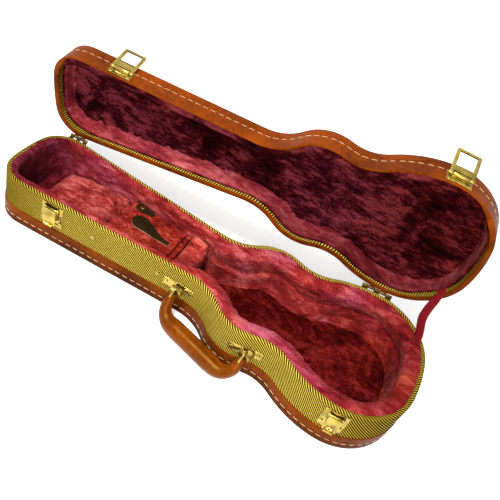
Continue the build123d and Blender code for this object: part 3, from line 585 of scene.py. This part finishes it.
def tray_skins():
    """The tweed over the tray's wall and rim, and the leather band round its foot."""
    face, inner, shoulder = -BINDING, -SHELL, TRAY_TOP - RIM_ROUND
    profile = [(face, BAND_TOP - 2.5 * MM)]
    profile += run((face, BAND_TOP), (face, shoulder - MM), 8)
    profile += arc((face - RIM_ROUND, shoulder), RIM_ROUND, 0, 90, 6)
    profile += arc((inner + RIM_ROUND, shoulder), RIM_ROUND, 90, 180, 6)
    profile += [(inner, TRAY_TOP - 9 * MM)]
    tweed = skin("tray_tweed_cloth", tray_line, profile, TWEED, "tray")
    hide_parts("tray_tweed")

    edge, foot = 0.6 * MM, 2.2 * MM
    band = [(-TURN, 0.25 * MM), (-TURN, 0.0)]
    band += arc((-foot, foot), foot, 270, 360, 6)
    band += groove(STITCH_Z) + run((0.0, STITCH_Z + 3 * MM), (0.0, BAND_TOP - edge * 3), 5)
    band += arc((-edge, BAND_TOP - edge), edge, 0, 90, 4)
    band += [(face - 0.1 * MM, BAND_TOP - 0.15 * MM)]
    leather = skin("tray_leather_band", tray_line, band, BAND, "tray")
    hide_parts("tray_binding")


def hinge_share(out_y):
    """0 along the lid's front edge, 1 at its ends and along its hinge side."""
    return step(-0.96, -0.6, out_y)


def lid_skins():
    """The leather over the lid's wall and rim, and the tweed strip inside its mouth."""
    lip, corner, hem = 1.2 * MM, 3.0 * MM, 7.1 * MM
    profile = [(-hem - 0.4 * MM, LID_LOW + 1.9 * MM), (-hem - 0.4 * MM, LID_LOW + 0.9 * MM)]
    profile += [(-hem, LID_LOW + 0.3 * MM), (-hem + 0.6 * MM, LID_LOW)]
    profile += arc((-lip, LID_LOW + lip), lip, 270, 360, 6)
    profile += run((0.0, LID_LOW + 4 * MM), (0.0, LID_STITCH_Z - 3 * MM), 5)
    profile += groove(LID_STITCH_Z)
    profile += arc((-corner, LID_TOP - corner), corner, 0, 90, 7)
    profile += run((-corner - 3 * MM, LID_TOP), (-TURN + 0.5 * MM, LID_TOP), 3)
    profile += [(-TURN, LID_TOP - 0.3 * MM), (-TURN, LID_TOP - 0.9 * MM)]
    reach = np.array([-1.8 * MM - 6.0 * MM * hinge_share(y) for y in lid_line.out[:, 1]])

    def turned(offset, height):
        flat = np.full(len(reach), offset)
        return np.maximum(reach, flat) if height < LID_LOW + 2 * MM else flat

    leather = skin("lid_leather", lid_line, profile, LEATHER, "lid", OPEN, turned)
    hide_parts("lid_binding")

    inside = -SHELL - 0.12 * MM
    strip = run((inside, STRIP_TOP + 5.5 * MM), (inside, LID_LOW + 1.2 * MM), 6)
    tweed = skin("lid_mouth_tweed", lid_line, strip, TWEED_MOUTH, "lid", OPEN)
    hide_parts("lid_inner_tweed")


def cover(name, outline, height, rise, node, body, matrix):
    """A flat tweed cover inside the turned leather edge, its rim pressed in."""
    rings = [(TURN + 0.1 * MM, 0.0), (TURN + 0.6 * MM, rise), (TURN + 6 * MM, rise)]
    spots = np.vstack([np.column_stack([outline.flat - outline.out * offset,
                                        np.full(outline.count, height + up)])
                       for offset, up in rings])
    faces = quads(len(rings), outline.count, ring=True)
    faces.append(list(range(len(spots) - outline.count, len(spots))))
    if rise < 0:
        faces = [face[::-1] for face in faces]
    made = new_piece(name, spots, faces, TWEED, body, spots[:, :2], False, matrix)
    area = float(area_of(outline.flat - outline.out * TURN))
    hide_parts(node)


def stitch_row(name, outline, height, body, matrix=STAY):
    """A row of long stitches: short capsules of waxed thread, half sunk in the leather."""
    pitch, dash, thick, sink = 11.0 * MM, 8.4 * MM, 0.38 * MM, 0.25 * MM
    count = round(outline.length / pitch)
    sides, rings = 6, 7
    spots, faces, uvs = [], [], []
    for k in range(count):
        middle = (k + 0.5) * outline.length / count + random.uniform(-0.4, 0.4) * MM
        long = dash * random.uniform(0.9, 1.06)
        base = len(spots)
        for t in np.linspace(0, 1, rings):
            point, out = outline.at(middle + (t - 0.5) * long)
            end = (2 * t - 1) ** 4
            swell = thick * math.sqrt(max(1 - end, 0.05))
            for c in range(sides):
                turn = 2 * math.pi * c / sides
                reach = swell * math.cos(turn) - sink * end
                spots.append((*(point + out * reach), height + swell * math.sin(turn)))
                uvs.append((t * long, c * thick))
        faces += tube(rings, sides, base)
    piece = new_piece(name, spots, faces, THREAD, body, uvs, matrix=matrix)


tray_skins()
lid_skins()
cover("tray_back_cloth", tray_line, 0.35 * MM, -0.3 * MM, "tray_back_cover", "tray", STAY)
cover("lid_top_cloth", lid_line, LID_TOP - 0.7 * MM, 0.35 * MM, "lid_top_cover", "lid", OPEN)
stitch_row("tray_stitches", tray_line, STITCH_Z, "tray")
stitch_row("lid_stitches", lid_line, LID_STITCH_Z, "lid", OPEN)


# --- Plush linings ---

FOLDS, CLUMPS, TUFTS = 28.0, 95.0, 330.0
PILE_PATCHES = 45.0
LINING_GLUE = 0.15 * MM
REST_REACH = 13.6 * MM
NECK_PADDING, BODY_PADDING = 6.7 * MM, 19.6 * MM


def ruffle(spot, seed):
    """How far the plush stands proud at a place: loose folds, clumps of pile and single tufts."""
    p = Vector(spot) + Vector((seed, seed * 0.7, -seed))
    clump = noise.noise(p * CLUMPS + Vector((3.1, 1.7, 9.2)))
    return 1.1 * noise.noise(p * FOLDS) + 1.1 * clump + 0.6 * noise.noise(p * TUFTS)


def nap(piece, amount, seed, outward=0.3):
    """Lift a plush piece's mesh along its normals, unevenly. It sinks more than it rises."""
    for vertex, normal in [(v, v.normal.copy()) for v in piece.data.vertices]:
        lift = ruffle(vertex.co, seed)
        vertex.co += normal * amount * (lift if lift < 0 else lift * outward)
    piece.data.update()


def tray_shape(x, out_y):
    """The tray lining's section at a place along the case, as (offset inwards, height).

    It comes from under the rim's cloth over a rounded roll, and has a loose crease and a rounded
    foot. It is thin beside the neck and thick round the body.
    """
    thick = NECK_PADDING + (BODY_PADDING - NECK_PADDING) * step(-20.0 * MM, -4.0 * MM, x)
    low, top, start = PANEL_TOP + 0.3 * MM, TRAY_TOP + 0.1 * MM, -3.6 * MM
    roll = min(0.5 * thick + 1.8 * MM, 8.2 * MM)
    middle = start + roll
    shape = [(start, top - 1.6 * MM)]
    for a in np.radians(np.linspace(155, 0, 14)):
        across = middle + (roll if a > math.pi / 2 else thick - middle) * math.cos(a)
        shape.append((across, top - roll * (1 - math.sin(a))))
    bottom = shape[-1][1]
    share = thick / (20 * MM)
    wave = noise.noise(Vector((x * 16, out_y, 4.0)))
    crease, depth = 0.34 + 0.16 * wave, (3.4 + 2.4 * wave) * MM
    for t in np.linspace(0, 1, 27)[1:]:
        belly = 1.6 * MM * math.sin(math.pi * t) * share
        belly += depth * math.exp(-((t - crease) / 0.075) ** 2) * share ** 2
        foot = 0.16 * thick * t ** 8
        shape.append((thick - belly + foot, bottom + (low - bottom) * t))
    return shape


def lid_shape(x, out_y):
    """The lid lining's section: a small roll near the mouth and a wide cove to the panel.

    Along the lid's front it also covers the rim.
    """
    hinge = hinge_share(out_y)
    inside = step(0.75, 1.0, hinge)
    wide = step(-245 * MM, -275 * MM, x) + step(235 * MM, 275 * MM, x)
    low = LID_LOW + (0.5 + (4.7 + 3.6 * wide) * inside) * MM
    deep = LID_LINING_TOP - low
    thick = 4.8 * MM
    shape = [((hinge - 1) * 6.2 * MM, low + (0.8 * inside - 0.05) * MM)]
    shape += [((hinge - 1) * 4.5 * MM, low + (0.6 * inside - 0.3) * MM)]
    shape += [(0.3 * thick, low), (0.7 * thick, low + 0.5 * MM)]
    shape += [(thick, low + deep * t) for t in np.linspace(0.10, 0.50, 8)]
    cove = 0.46 * deep
    for a in np.radians(np.linspace(8, 84, 9)):
        shape.append((thick + cove * (1 - math.cos(a)), low + deep * 0.50 + cove * math.sin(a)))
    across, height = shape[-1]
    return shape + [(across + t * MM, height + 0.1 * t * MM) for t in (2, 4, 7, 10, 14)]


def lining(name, outline, shape_at, body, look, seed, amount, matrix=STAY, flip=False, lowest=0.0,
           highest=1.0):
    """A padded lining inside the wall, pressed flat at the lowest and highest heights."""
    spots = []
    for point, out in zip(outline.flat, outline.out):
        for inward, height in shape_at(point[0], out[1]):
            spots.append((*(point - out * (SHELL + LINING_GLUE + inward)), height))
    rows = len(spots) // outline.count
    faces = [tuple(i % len(spots) for i in quad) for quad in quads(outline.count + 1, rows)]
    if flip:
        faces = [face[::-1] for face in faces]
    piece = new_piece(name, spots, faces, look, body)
    nap(piece, amount, seed)
    for vertex in piece.data.vertices:
        vertex.co.z = min(max(vertex.co.z, lowest), highest)
    piece.data.transform(matrix)
    return piece


def pile(name, piece, body, look, spacing, length, seed, keep, lid_rests=False):
    """Tufts on a plush piece: thin closed spikes that lean together in patches.

    Where the closed lid rests, near the tray's outline, they are pressed down below its edge.
    """
    mesh = piece.data
    mesh.calc_loop_triangles()
    corners = np.array([triangle.vertices for triangle in mesh.loop_triangles])
    spots = spots_of(mesh)
    corners = corners[np.array([keep(Vector(p)) for p in spots[corners].mean(1)])]
    a, b, c = (spots[corners[:, i]] for i in range(3))
    facing = np.cross(b - a, c - a)
    area = np.linalg.norm(facing, axis=1) / 2
    chance = np.random.default_rng(seed)
    count = int(area.sum() / spacing ** 2)
    chosen = chance.choice(len(area), count, p=area / area.sum())
    share = chance.random((count, 2))
    share = np.where(share.sum(1, keepdims=True) > 1, 1 - share, share)
    at = a[chosen] + (b - a)[chosen] * share[:, :1] + (c - a)[chosen] * share[:, 1:]
    up = facing[chosen] / (2 * area[chosen, None])
    tufts, faces = [], []
    for place, normal in zip(map(Vector, at), map(Vector, up)):
        flow = noise.noise_vector(place * PILE_PATCHES) * 1.5 + Vector(chance.normal(0, 0.35, 3))
        lean = (normal + flow - normal * flow.dot(normal) * 0.7).normalized()
        side = lean.orthogonal().normalized()
        other = lean.cross(side)
        tall = length * chance.uniform(0.6, 1.25)
        wide = 0.26 * tall
        base = len(tufts)
        for turn in (0.0, 2.09, 4.19):
            across = (side * math.cos(turn) + other * math.sin(turn)) * wide
            tufts.append(place - normal * 0.25 * length + across)
        tufts.append(place + lean * tall)
        faces += [(base + i, base + (i + 1) % 3, base + 3) for i in range(3)]
        faces.append((base + 2, base + 1, base))
    top = LID_LOW - 0.2 * MM
    for spot in tufts if lid_rests else ():
        if spot.z > top and np.linalg.norm(tray_line.flat - spot[:2], axis=1).min() < REST_REACH:
            spot.z = top
    new_piece(name, tufts, faces, look, body)


def tray_linings():
    """The tray wall's lining, with a long pile on its roll."""
    made = lining("tray_wall_plush", tray_line, tray_shape, "tray", PLUSH_WALL, 2.0, 1.9 * MM,
                  highest=LID_LOW - 0.1 * MM)
    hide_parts("tray_wall_padding")

    def on_roll(spot):
        beside_compartment = -152 * MM < spot.x < -44 * MM
        return spot.z > TRAY_TOP - (3 if beside_compartment else 13) * MM

    # The roll's pile takes the lighter roll plush: painted light.
    pile("tray_roll_pile", made, "tray", PLUSH_ROLL, 1.6 * MM, 2.0 * MM, 11, on_roll, True)


def lid_linings():
    """The lid wall's lining. Its first rows, at the rim, take the panel's dark plush: painted shade.
    """
    made = lining("lid_wall_plush", lid_line, lid_shape, "lid", PLUSH_LID_WALL, 5.0, 0.9 * MM, OPEN,
                  flip=True, lowest=LID_LOW + 0.05 * MM)
    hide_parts("lid_wall_padding")
    made.data.materials.append(PLUSH_LID)
    rows = len(made.data.polygons) // lid_line.count
    # Painted shade: the first three faces of each section, along the rim, get the dark panel plush.
    for face in made.data.polygons:
        face.material_index = int(face.index % rows < 3)

    def near_mouth(spot):
        shut = CLOSE @ spot
        return shut.z < LID_LOW + 14 * MM and shut.y > -30 * MM

    pile("lid_fringe_pile", made, "lid", PLUSH_LID_WALL, 1.6 * MM, 1.9 * MM, 12, near_mouth)


tray_linings()
lid_linings()


# --- Plush pads and cushions ---

def solid_copy(name, node, look, shrink=0.0):
    """A copy of a CAD solid as a new piece, drawn in from each side by the shrink."""
    work = bmesh.new()
    work.from_mesh(nodes[node].data)
    bmesh.ops.remove_doubles(work, verts=work.verts, dist=1e-6)
    mesh = bpy.data.meshes.new(name)
    work.to_mesh(mesh)
    work.free()
    mesh.materials.clear()
    mesh.materials.append(look)
    low, high = extent(mesh)
    for v in mesh.vertices if shrink else ():
        for i in range(3):
            half, centre = (high[i] - low[i]) / 2, (high[i] + low[i]) / 2
            v.co[i] = centre + (v.co[i] - centre) * max(half - shrink, 0.1 * half) / half
    return placed(name, mesh)


def bake(piece):
    """Apply a piece's modifiers to its mesh."""
    graph = bpy.context.evaluated_depsgraph_get()
    graph.update()
    mesh = bpy.data.meshes.new_from_object(piece.evaluated_get(graph))
    piece.modifiers.clear()
    piece.data = mesh
    mesh.shade_smooth()


def remeshed(piece, voxel, smooth=0):
    """Remesh a piece to even quads and soften its corners."""
    remesh = piece.modifiers.new("Remesh", "REMESH")
    remesh.mode = "VOXEL"
    remesh.voxel_size = voxel
    if smooth:
        soften = piece.modifiers.new("Soften", "SMOOTH")
        soften.factor = 0.6
        soften.iterations = smooth
    bake(piece)


def stands_for(piece, node, body):
    """Let a padded piece ride on a body in a CAD solid's place."""
    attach(piece, body)
    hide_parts(node)


def plush_pad(name, node, body, look, seed, amount, voxel, smooth, shrink=0.0):
    """A plush-covered board or pad, from its CAD solid."""
    piece = solid_copy(name, node, look, shrink)
    remeshed(piece, voxel, smooth)
    nap(piece, amount, seed)
    stands_for(piece, node, body)


def blown_up(piece, cap, pressure=4.0, last=20):
    """Blow a piece up as cloth. No point moves further than the cap."""
    start = [v.co.copy() for v in piece.data.vertices]
    cloth = piece.modifiers.new("Cloth", "CLOTH")
    cloth.settings.use_pressure = True
    cloth.settings.uniform_pressure_force = pressure
    cloth.settings.effector_weights.gravity = 0.0
    for number in range(1, last + 1):
        scene.frame_set(number)
    bake(piece)
    scene.frame_set(1)
    for vertex, place in zip(piece.data.vertices, start):
        move = vertex.co - place
        if move.length > cap:
            vertex.co = place + move.normalized() * cap


def puffed(name, node, body, look, shrink, cap, amount, seed, slump=0.0, sides=1.0):
    """A stuffed cushion: its CAD solid drawn in, remeshed, blown up as cloth, and napped.

    Its top falls away by the slump at its ends, and by a share of it at its long sides.
    """
    piece = solid_copy(name, node, look, shrink)
    remeshed(piece, 4.0 * MM)
    blown_up(piece, cap)
    soft = piece.modifiers.new("Fine", "SUBSURF")
    soft.levels = soft.render_levels = 2
    bake(piece)
    low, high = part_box(node)
    for v in piece.data.vertices if slump else ():
        u, w = (abs(2 * (v.co[i] - low[i]) / (high[i] - low[i]) - 1) for i in (0, 1))
        w *= sides * (0.6 if v.co.y > 0 else 1.0)
        rise = max((v.co.z - low.z) / (high.z - low.z), 0.0)
        v.co.z -= slump * min(u ** 3 + w ** 3, 1.4) * rise
        v.co.z -= slump * 0.55 * rise * abs(noise.noise(v.co * 24.0 + Vector((seed, 0, 0))))
    nap(piece, amount, seed)
    stands_for(piece, node, body)

    def on_top(spot):
        return low.x + 3 * MM < spot.x < high.x - 7 * MM and spot.z > high.z - 12 * MM

    pile(name + "_pile", piece, body, look, 2.0 * MM, 1.7 * MM, 14, on_top)


# The floor and the lid's panel take the darker plush copies: painted shade.
plush_pad("tray_floor_plush", "tray_floor_pad", "tray", PLUSH_FLOOR, 3.0, 1.6 * MM, 1.6 * MM, 4)
plush_pad("lid_top_plush", "lid_top_padding", "lid", PLUSH_LID, 7.0, 2.4 * MM, 2.0 * MM, 4)
plush_pad("head_partition_plush", "head_partition", "tray", PLUSH_NECK, 1.0, 0.5 * MM, 1.2 * MM, 2,
          -0.8 * MM)
plush_pad("neck_partition_plush", "neck_partition", "tray", PLUSH_NECK, 1.5, 0.5 * MM, 1.2 * MM, 2)
puffed("head_cushion_plush", "head_cushion", "tray", PLUSH_HEAD, 2.0 * MM, 3.0 * MM, 2.3 * MM, 4.0,
       slump=13.0 * MM)
# The neck rest takes the lighter rest plush: painted light.
puffed("neck_rest_plush", "neck_rest", "tray", PLUSH_REST, 0.6 * MM, 1.6 * MM, 1.6 * MM, 6.0,
       slump=2.5 * MM, sides=0.0)
puffed("compartment_pad_plush", "compartment_pad", "compartment_lid", PLUSH_NECK, 0.6 * MM,
       1.2 * MM, 0.8 * MM, 8.0)


# --- Handle ---

def handle_plane():
    """The handle's left post, the ways along and down from it, its pitch and its reach."""
    swing = joints["handle_swing"]
    post = Vector(swing["pos_m"])
    along = -Vector(swing["axis"]).normalized()
    core = points_of("handle_core") - np.array(post)
    across = core @ np.array(along)
    level = core - np.outer(across, np.array(along))
    drop = Vector(level.mean(0)).normalized()
    bar = 3.0 * MM
    pitch = float(across.max() - across.min()) - 2 * bar
    reach = float((core @ np.array(drop)).max()) - bar
    return post, along, drop, pitch, reach


def handle_path(pitch, reach, bend=22.0 * MM, start=5.4 * MM, count=150):
    """Places (along, down) on the handle's line, the direction there and the share so far."""
    steps, low = 25, reach - bend
    places = run((0.0, start), (0.0, low), steps)[:-1]
    places += arc((bend, low), bend, 180, 90, steps)[:-1]
    places += run((bend, reach), (pitch - bend, reach), steps)[:-1]
    places += arc((pitch - bend, low), bend, 90, 0, steps)[:-1]
    places += run((pitch, low), (pitch, start), steps)
    places, share = np.array(places), np.linspace(0, 1, count)
    line = eased(points_at(places, share * run_of(places)[-1]), 6)
    return line, unit(np.gradient(line, axis=0)), share


def grip():
    """The padded leather grip: thick in the middle, thin at the rings, seamed on the inside."""
    post, along, drop, pitch, reach = handle_plane()
    out = along.cross(drop).normalized()
    line, ahead, share = handle_path(pitch, reach)
    sides = 48
    heart = post + along * (pitch / 2) + drop * (reach * 0.4)
    spots = []
    for (x, y), (ax, ay), t in zip(line.tolist(), ahead.tolist(), share):
        from_end = min(t, 1 - t)
        radius = (4.9 + 2.5 * step(0.0, 0.09, from_end) + 4.7 * step(0.08, 0.34, from_end)) * MM
        centre = post + along * x + drop * y
        inner = drop * ax - along * ay
        inner = inner if inner.dot(heart - centre) > 0 else -inner
        for c in range(sides):
            turn = 2 * math.pi * c / sides
            away = min(turn, 2 * math.pi - turn)
            seam = math.exp(-(away / 0.20) ** 2)
            dip = math.exp(-((away - 0.48) / 0.13) ** 2)
            r = radius * (1 + 0.12 * seam - 0.045 * dip)
            spots.append(centre + inner * (r * math.cos(turn)) + out * (r * math.sin(turn) * 0.97))
    rows = len(line)
    faces = quads(rows, sides, ring=True)
    for r, way in ((0, -1), (rows - 1, 1)):
        last = ring = range(r * sides, (r + 1) * sides)
        middle = sum((spots[i] for i in ring), Vector()) / sides
        on = (along * float(ahead[r][0]) + drop * float(ahead[r][1])) * (way * MM)
        for narrow, push in ((0.8, 0.8), (0.45, 1.2)):
            new = range(len(spots), len(spots) + sides)
            spots += [middle + (spots[i] - middle) * narrow + on * push for i in ring]
            for c in range(sides):
                d = (c + 1) % sides
                faces.append((last[c], last[d], new[d], new[c])[::way])
            last = new
        faces.append(last[::way])
    piece = new_piece("handle_leather_grip", spots, faces, GRIP, "handle")
    work = bmesh.new()
    work.from_mesh(piece.data)
    bmesh.ops.recalc_face_normals(work, faces=work.faces)
    work.to_mesh(piece.data)
    work.free()
    for vertex in piece.data.vertices:
        p = vertex.co
        wear = noise.noise(p * 60.0) * 0.25 + noise.noise(p * 190.0) * 0.09
        vertex.co = p + vertex.normal * wear * MM
    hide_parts("handle_grip", "handle_core")


grip()


# --- Stay strap ---

STRAP_HALF, STRAP_THICK = 8.0 * MM, 1.3 * MM
SAG, SAG_WAY = 8.0 * MM, (-0.62, -0.42, -0.66)


def strap_slice(matrix, place, normal):
    """Where a plane cuts the CAD strap: the middle of the cut and the direction of its width."""
    work = bmesh.new()
    work.from_mesh(nodes["stay_strap"].data)
    work.transform(matrix)
    cut = cut_through(work, place, normal)
    spots = np.array([v.co[:] for v in cut if isinstance(v, bmesh.types.BMVert)])
    work.free()
    middle = spots.mean(0)
    wide = np.linalg.svd(spots - middle)[2][0]
    reach = (spots - middle) @ wide
    middle = middle + wide * (reach.max() + reach.min()) / 2
    back = matrix.inverted()
    return back @ Vector(middle), (back.to_3x3() @ Vector(wide)).normalized()


def strap():
    """The strap's centre line and width directions, from its tray end to its lid end."""
    up, depths = (0, 0, 1), (2.0, 7.0, 12.5)
    slices = [strap_slice(STAY, (0, 0, TRAY_TOP - deep * MM), up) for deep in depths[::-1]]
    far = [strap_slice(CLOSE, (0, 0, LID_LOW + deep * MM), up) for deep in depths]
    first, last = slices[-1][0], far[0][0]
    chord = (last - first).normalized()
    for share in np.linspace(0.16, 0.84, 9):
        slices.append(strap_slice(STAY, first.lerp(last, share), chord))
    slices += far
    widths = []
    for _, wide in slices:
        widths.append(wide if not widths or wide.dot(widths[-1]) > 0 else -wide)
    return np.array([middle for middle, _ in slices]), np.array(widths)


def ribbon():
    """The stay strap's web, with a sag and fine ribs."""
    centres, widths = strap()
    length = float(run_of(centres)[-1])
    count, columns = 150, 12
    share = np.linspace(0, 1, count)
    sag = np.outer(SAG * np.sin(math.pi * share ** 1.25) ** 2, SAG_WAY)
    line = eased(points_at(centres, share * length) + sag, 30)
    wides = unit(points_at(centres, share * length, widths))
    ups = unit(np.cross(wides, np.gradient(line, axis=0)))
    spots, uvs = [], []
    for point, wide, up, t in zip(line, wides, ups, share):
        for side in (1, -1):
            for c in range(columns + 1):
                x = (c / columns * 2 - 1) * side
                edge = math.sqrt(max(1 - abs(x) ** 8, 0.0))
                lift = (STRAP_THICK / 2 * edge + 0.12 * MM * math.cos(c * math.pi)) * side
                spots.append(point + wide * (x * STRAP_HALF) + up * lift)
                uvs.append((x * STRAP_HALF, length * t))
    piece = new_piece("stay_strap_web", spots, tube(count, 2 * (columns + 1)), WEB, "tray", uvs)
    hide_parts("stay_strap")
    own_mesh(piece)


ribbon()


# --- Compartment lid: tongue, keeper and tape ---

def leather_tab(name, node, curl, root, length, edge):
    """A thick leather tab with cut edges. It lifts at its tip and narrows to its root."""
    piece = solid_copy(name, node, DARK)
    remeshed(piece, 0.55 * MM, 3)
    low, high = extent(piece.data)
    for v in piece.data.vertices:
        t = (v.co.x - low.x) / (high.x - low.x)
        v.co.z += curl * (1 - t) ** 2 + noise.noise(v.co * 40.0) * 0.25 * MM
        narrow = 1 - (1 - root) * step(0.0, 1.0, 1.15 * t - 0.15)
        v.co.y = low.y + (v.co.y - low.y) * narrow + noise.noise(v.co * 55.0) * 1.5 * MM
        v.co.x = low.x + (v.co.x - low.x) * length
    piece.data.materials.append(edge)
    for face in piece.data.polygons:
        face.material_index = int(abs(face.normal.z) < 0.55)
    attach(piece, "compartment_lid")
    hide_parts(node)


def tape():
    """The cloth tape that hinges the compartment's board to the partition."""
    piece = solid_copy("compartment_tape_cloth", "compartment_hinge_tape", PLUSH_NECK)
    remeshed(piece, 0.5 * MM, 1)
    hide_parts("compartment_hinge_tape")
    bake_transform(piece)


leather_tab("compartment_tongue_leather", "compartment_tongue", 1.6 * MM, 0.28, 0.95, EDGE)
leather_tab("compartment_keeper_leather", "compartment_keeper", 0.4 * MM, 0.7, 0.8, DARK)
tape()


# --- Floors under the neck and in the head recess ---

def recess_floor():
    """Plush glued to the panel between the cushions, where no thick pad lies."""
    inner = tray_line.flat - tray_line.out * (SHELL + 0.3 * MM)
    xs = np.arange(float(inner[:, 0].min()) + MM, -14.0 * MM, 1.6 * MM)
    inner = inner[np.argsort(inner[:, 0], kind="stable")]
    inner = inner[inner[:, 0] < -12.0 * MM]
    near, far = inner[inner[:, 1] < 0], inner[inner[:, 1] > 0]
    columns = 70
    spots = []
    for x in xs:
        ends = [float(np.interp(x, side[:, 0], side[:, 1])) for side in (near, far)]
        spots += [(x, y, PANEL_TOP + 1.2 * MM) for y in np.linspace(*ends, columns)]
    faces = [(a, d, c, b) for a, b, c, d in quads(len(xs), columns)]
    piece = new_piece("neck_floor_plush", spots, faces, PLUSH_FLOOR, "tray", [p[:2] for p in spots])
    nap(piece, 0.8 * MM, 9.0)


recess_floor()


# --- CAD pieces that show ---

SHOWN = {
    GOLD: ["partition_rivets", "latch_bases", "latch_pins", "latch_rivets", "lid_latch_plates",
           "lid_latch_rivets", "handle_brackets", "handle_bracket_rivets", "handle_links",
           "left_latch_loop", "right_latch_loop", "left_latch_lever", "right_latch_lever",
           "keeper_stud"],
    LOCK: ["lock_barrel"],
    WOOD: ["tray_wall", "tray_panel", "lid_wall", "lid_panel"],
    PLUSH_FLOOR: ["compartment_board", "compartment_ledge"],
    SHADED_HINGE_GOLD: ["hinge_tray_leaves", "hinge_lid_leaves", "hinge_pins", "hinge_rivets",
             "lid_hinge_rivets"],
}


def rounded(piece):
    """Smooth a metal piece and round its sharp edges."""
    weld = piece.modifiers.new("Weld", "WELD")
    weld.merge_threshold = 1e-6
    bevel = piece.modifiers.new("Bevel", "BEVEL")
    bevel.width = 0.22 * MM
    bevel.segments = 2
    bevel.limit_method = "ANGLE"
    bevel.angle_limit = math.radians(40)
    bevel.harden_normals = True
    piece.data.shade_smooth()


for look, names in SHOWN.items():
    for name in names:
        nodes[name].data.materials.clear()
        nodes[name].data.materials.append(look)
        if look in (GOLD, LOCK, SHADED_HINGE_GOLD):
            rounded(nodes[name])


# --- Camera, light and floor ---

WORLD_LIGHT, FLOOR_GLOW = 0.32, 0.55
FLOOR_REACH, FLOOR_DROP = 6.0, 0.5 * MM
CAMERA_PLACE = 125.7 * MM, -535.0 * MM, 623.8 * MM
CAMERA_TURN, CAMERA_TILT, CAMERA_ROLL = 9.3668, 46.9583, 24.1824


def camera():
    """A camera at the photograph's viewing angle. Its three angles are in degrees."""
    data = bpy.data.cameras.new("camera")
    data.lens = 42.88
    data.clip_start = 0.01
    data.clip_end = 50.0
    made = placed("camera", data)
    turn = Matrix.Identity(4)
    for angle, axis in ((CAMERA_TURN, "Z"), (CAMERA_TILT, "X"), (CAMERA_ROLL, "Z")):
        turn = turn @ Matrix.Rotation(math.radians(angle), 4, axis)
    made.matrix_world = Matrix.Translation(CAMERA_PLACE) @ turn
    scene.camera = made


def lamp(name, place, aim, size, power):
    """A round lamp that shines from a place towards another."""
    data = bpy.data.lights.new(name, "AREA")
    data.shape = "DISK"
    data.size = size
    data.energy = power
    made = placed(name, data)
    ahead = (Vector(aim) - Vector(place)).normalized()
    made.rotation_euler = ahead.to_track_quat("-Z", "Y").to_euler()
    made.location = place


def background():
    """A white floor and world. Camera, glossy and transmission rays see them white."""
    world = bpy.data.worlds.new("world")
    world.use_nodes = True
    scene.world = world
    sky = Graph(world.node_tree)
    shade = sky.tree.nodes["Background"].inputs
    light = sky.total((sky.seen(), 1 - WORLD_LIGHT))
    sky.put(shade["Strength"], sky.math("ADD", light, WORLD_LIGHT))
    sky.put(shade["Color"], WHITE)

    look = Look("floor")
    tone = look.noise(look.coordinates("Object"), 3.0, 2.0)
    colour = look.ramp(tone, (0.3, 0.86), (0.7, 0.88))
    material = look.finish(Base_Color=colour, Roughness=0.9, Specular_IOR_Level=0.2,
                           Emission_Color=WHITE,
                           Emission_Strength=look.total((look.seen(), FLOOR_GLOW)))
    mesh = bpy.data.meshes.new("floor")
    corners = [(x * FLOOR_REACH, y * FLOOR_REACH, -FLOOR_DROP)
               for x, y in ((-1, -1), (1, -1), (1, 1), (-1, 1))]
    mesh.from_pydata(corners, [], [(0, 1, 2, 3)])
    mesh.materials.append(material)
    placed("floor", mesh)


camera()
background()
lamp("key", (-0.30, -0.70, 2.0), (0.0, 0.05, 0.05), 0.5, 48.0)
lamp("fill", (0.35, -1.5, 1.1), (0.0, 0.05, 0.1), 1.0, 20.0)
scene.view_settings.view_transform = "Standard"
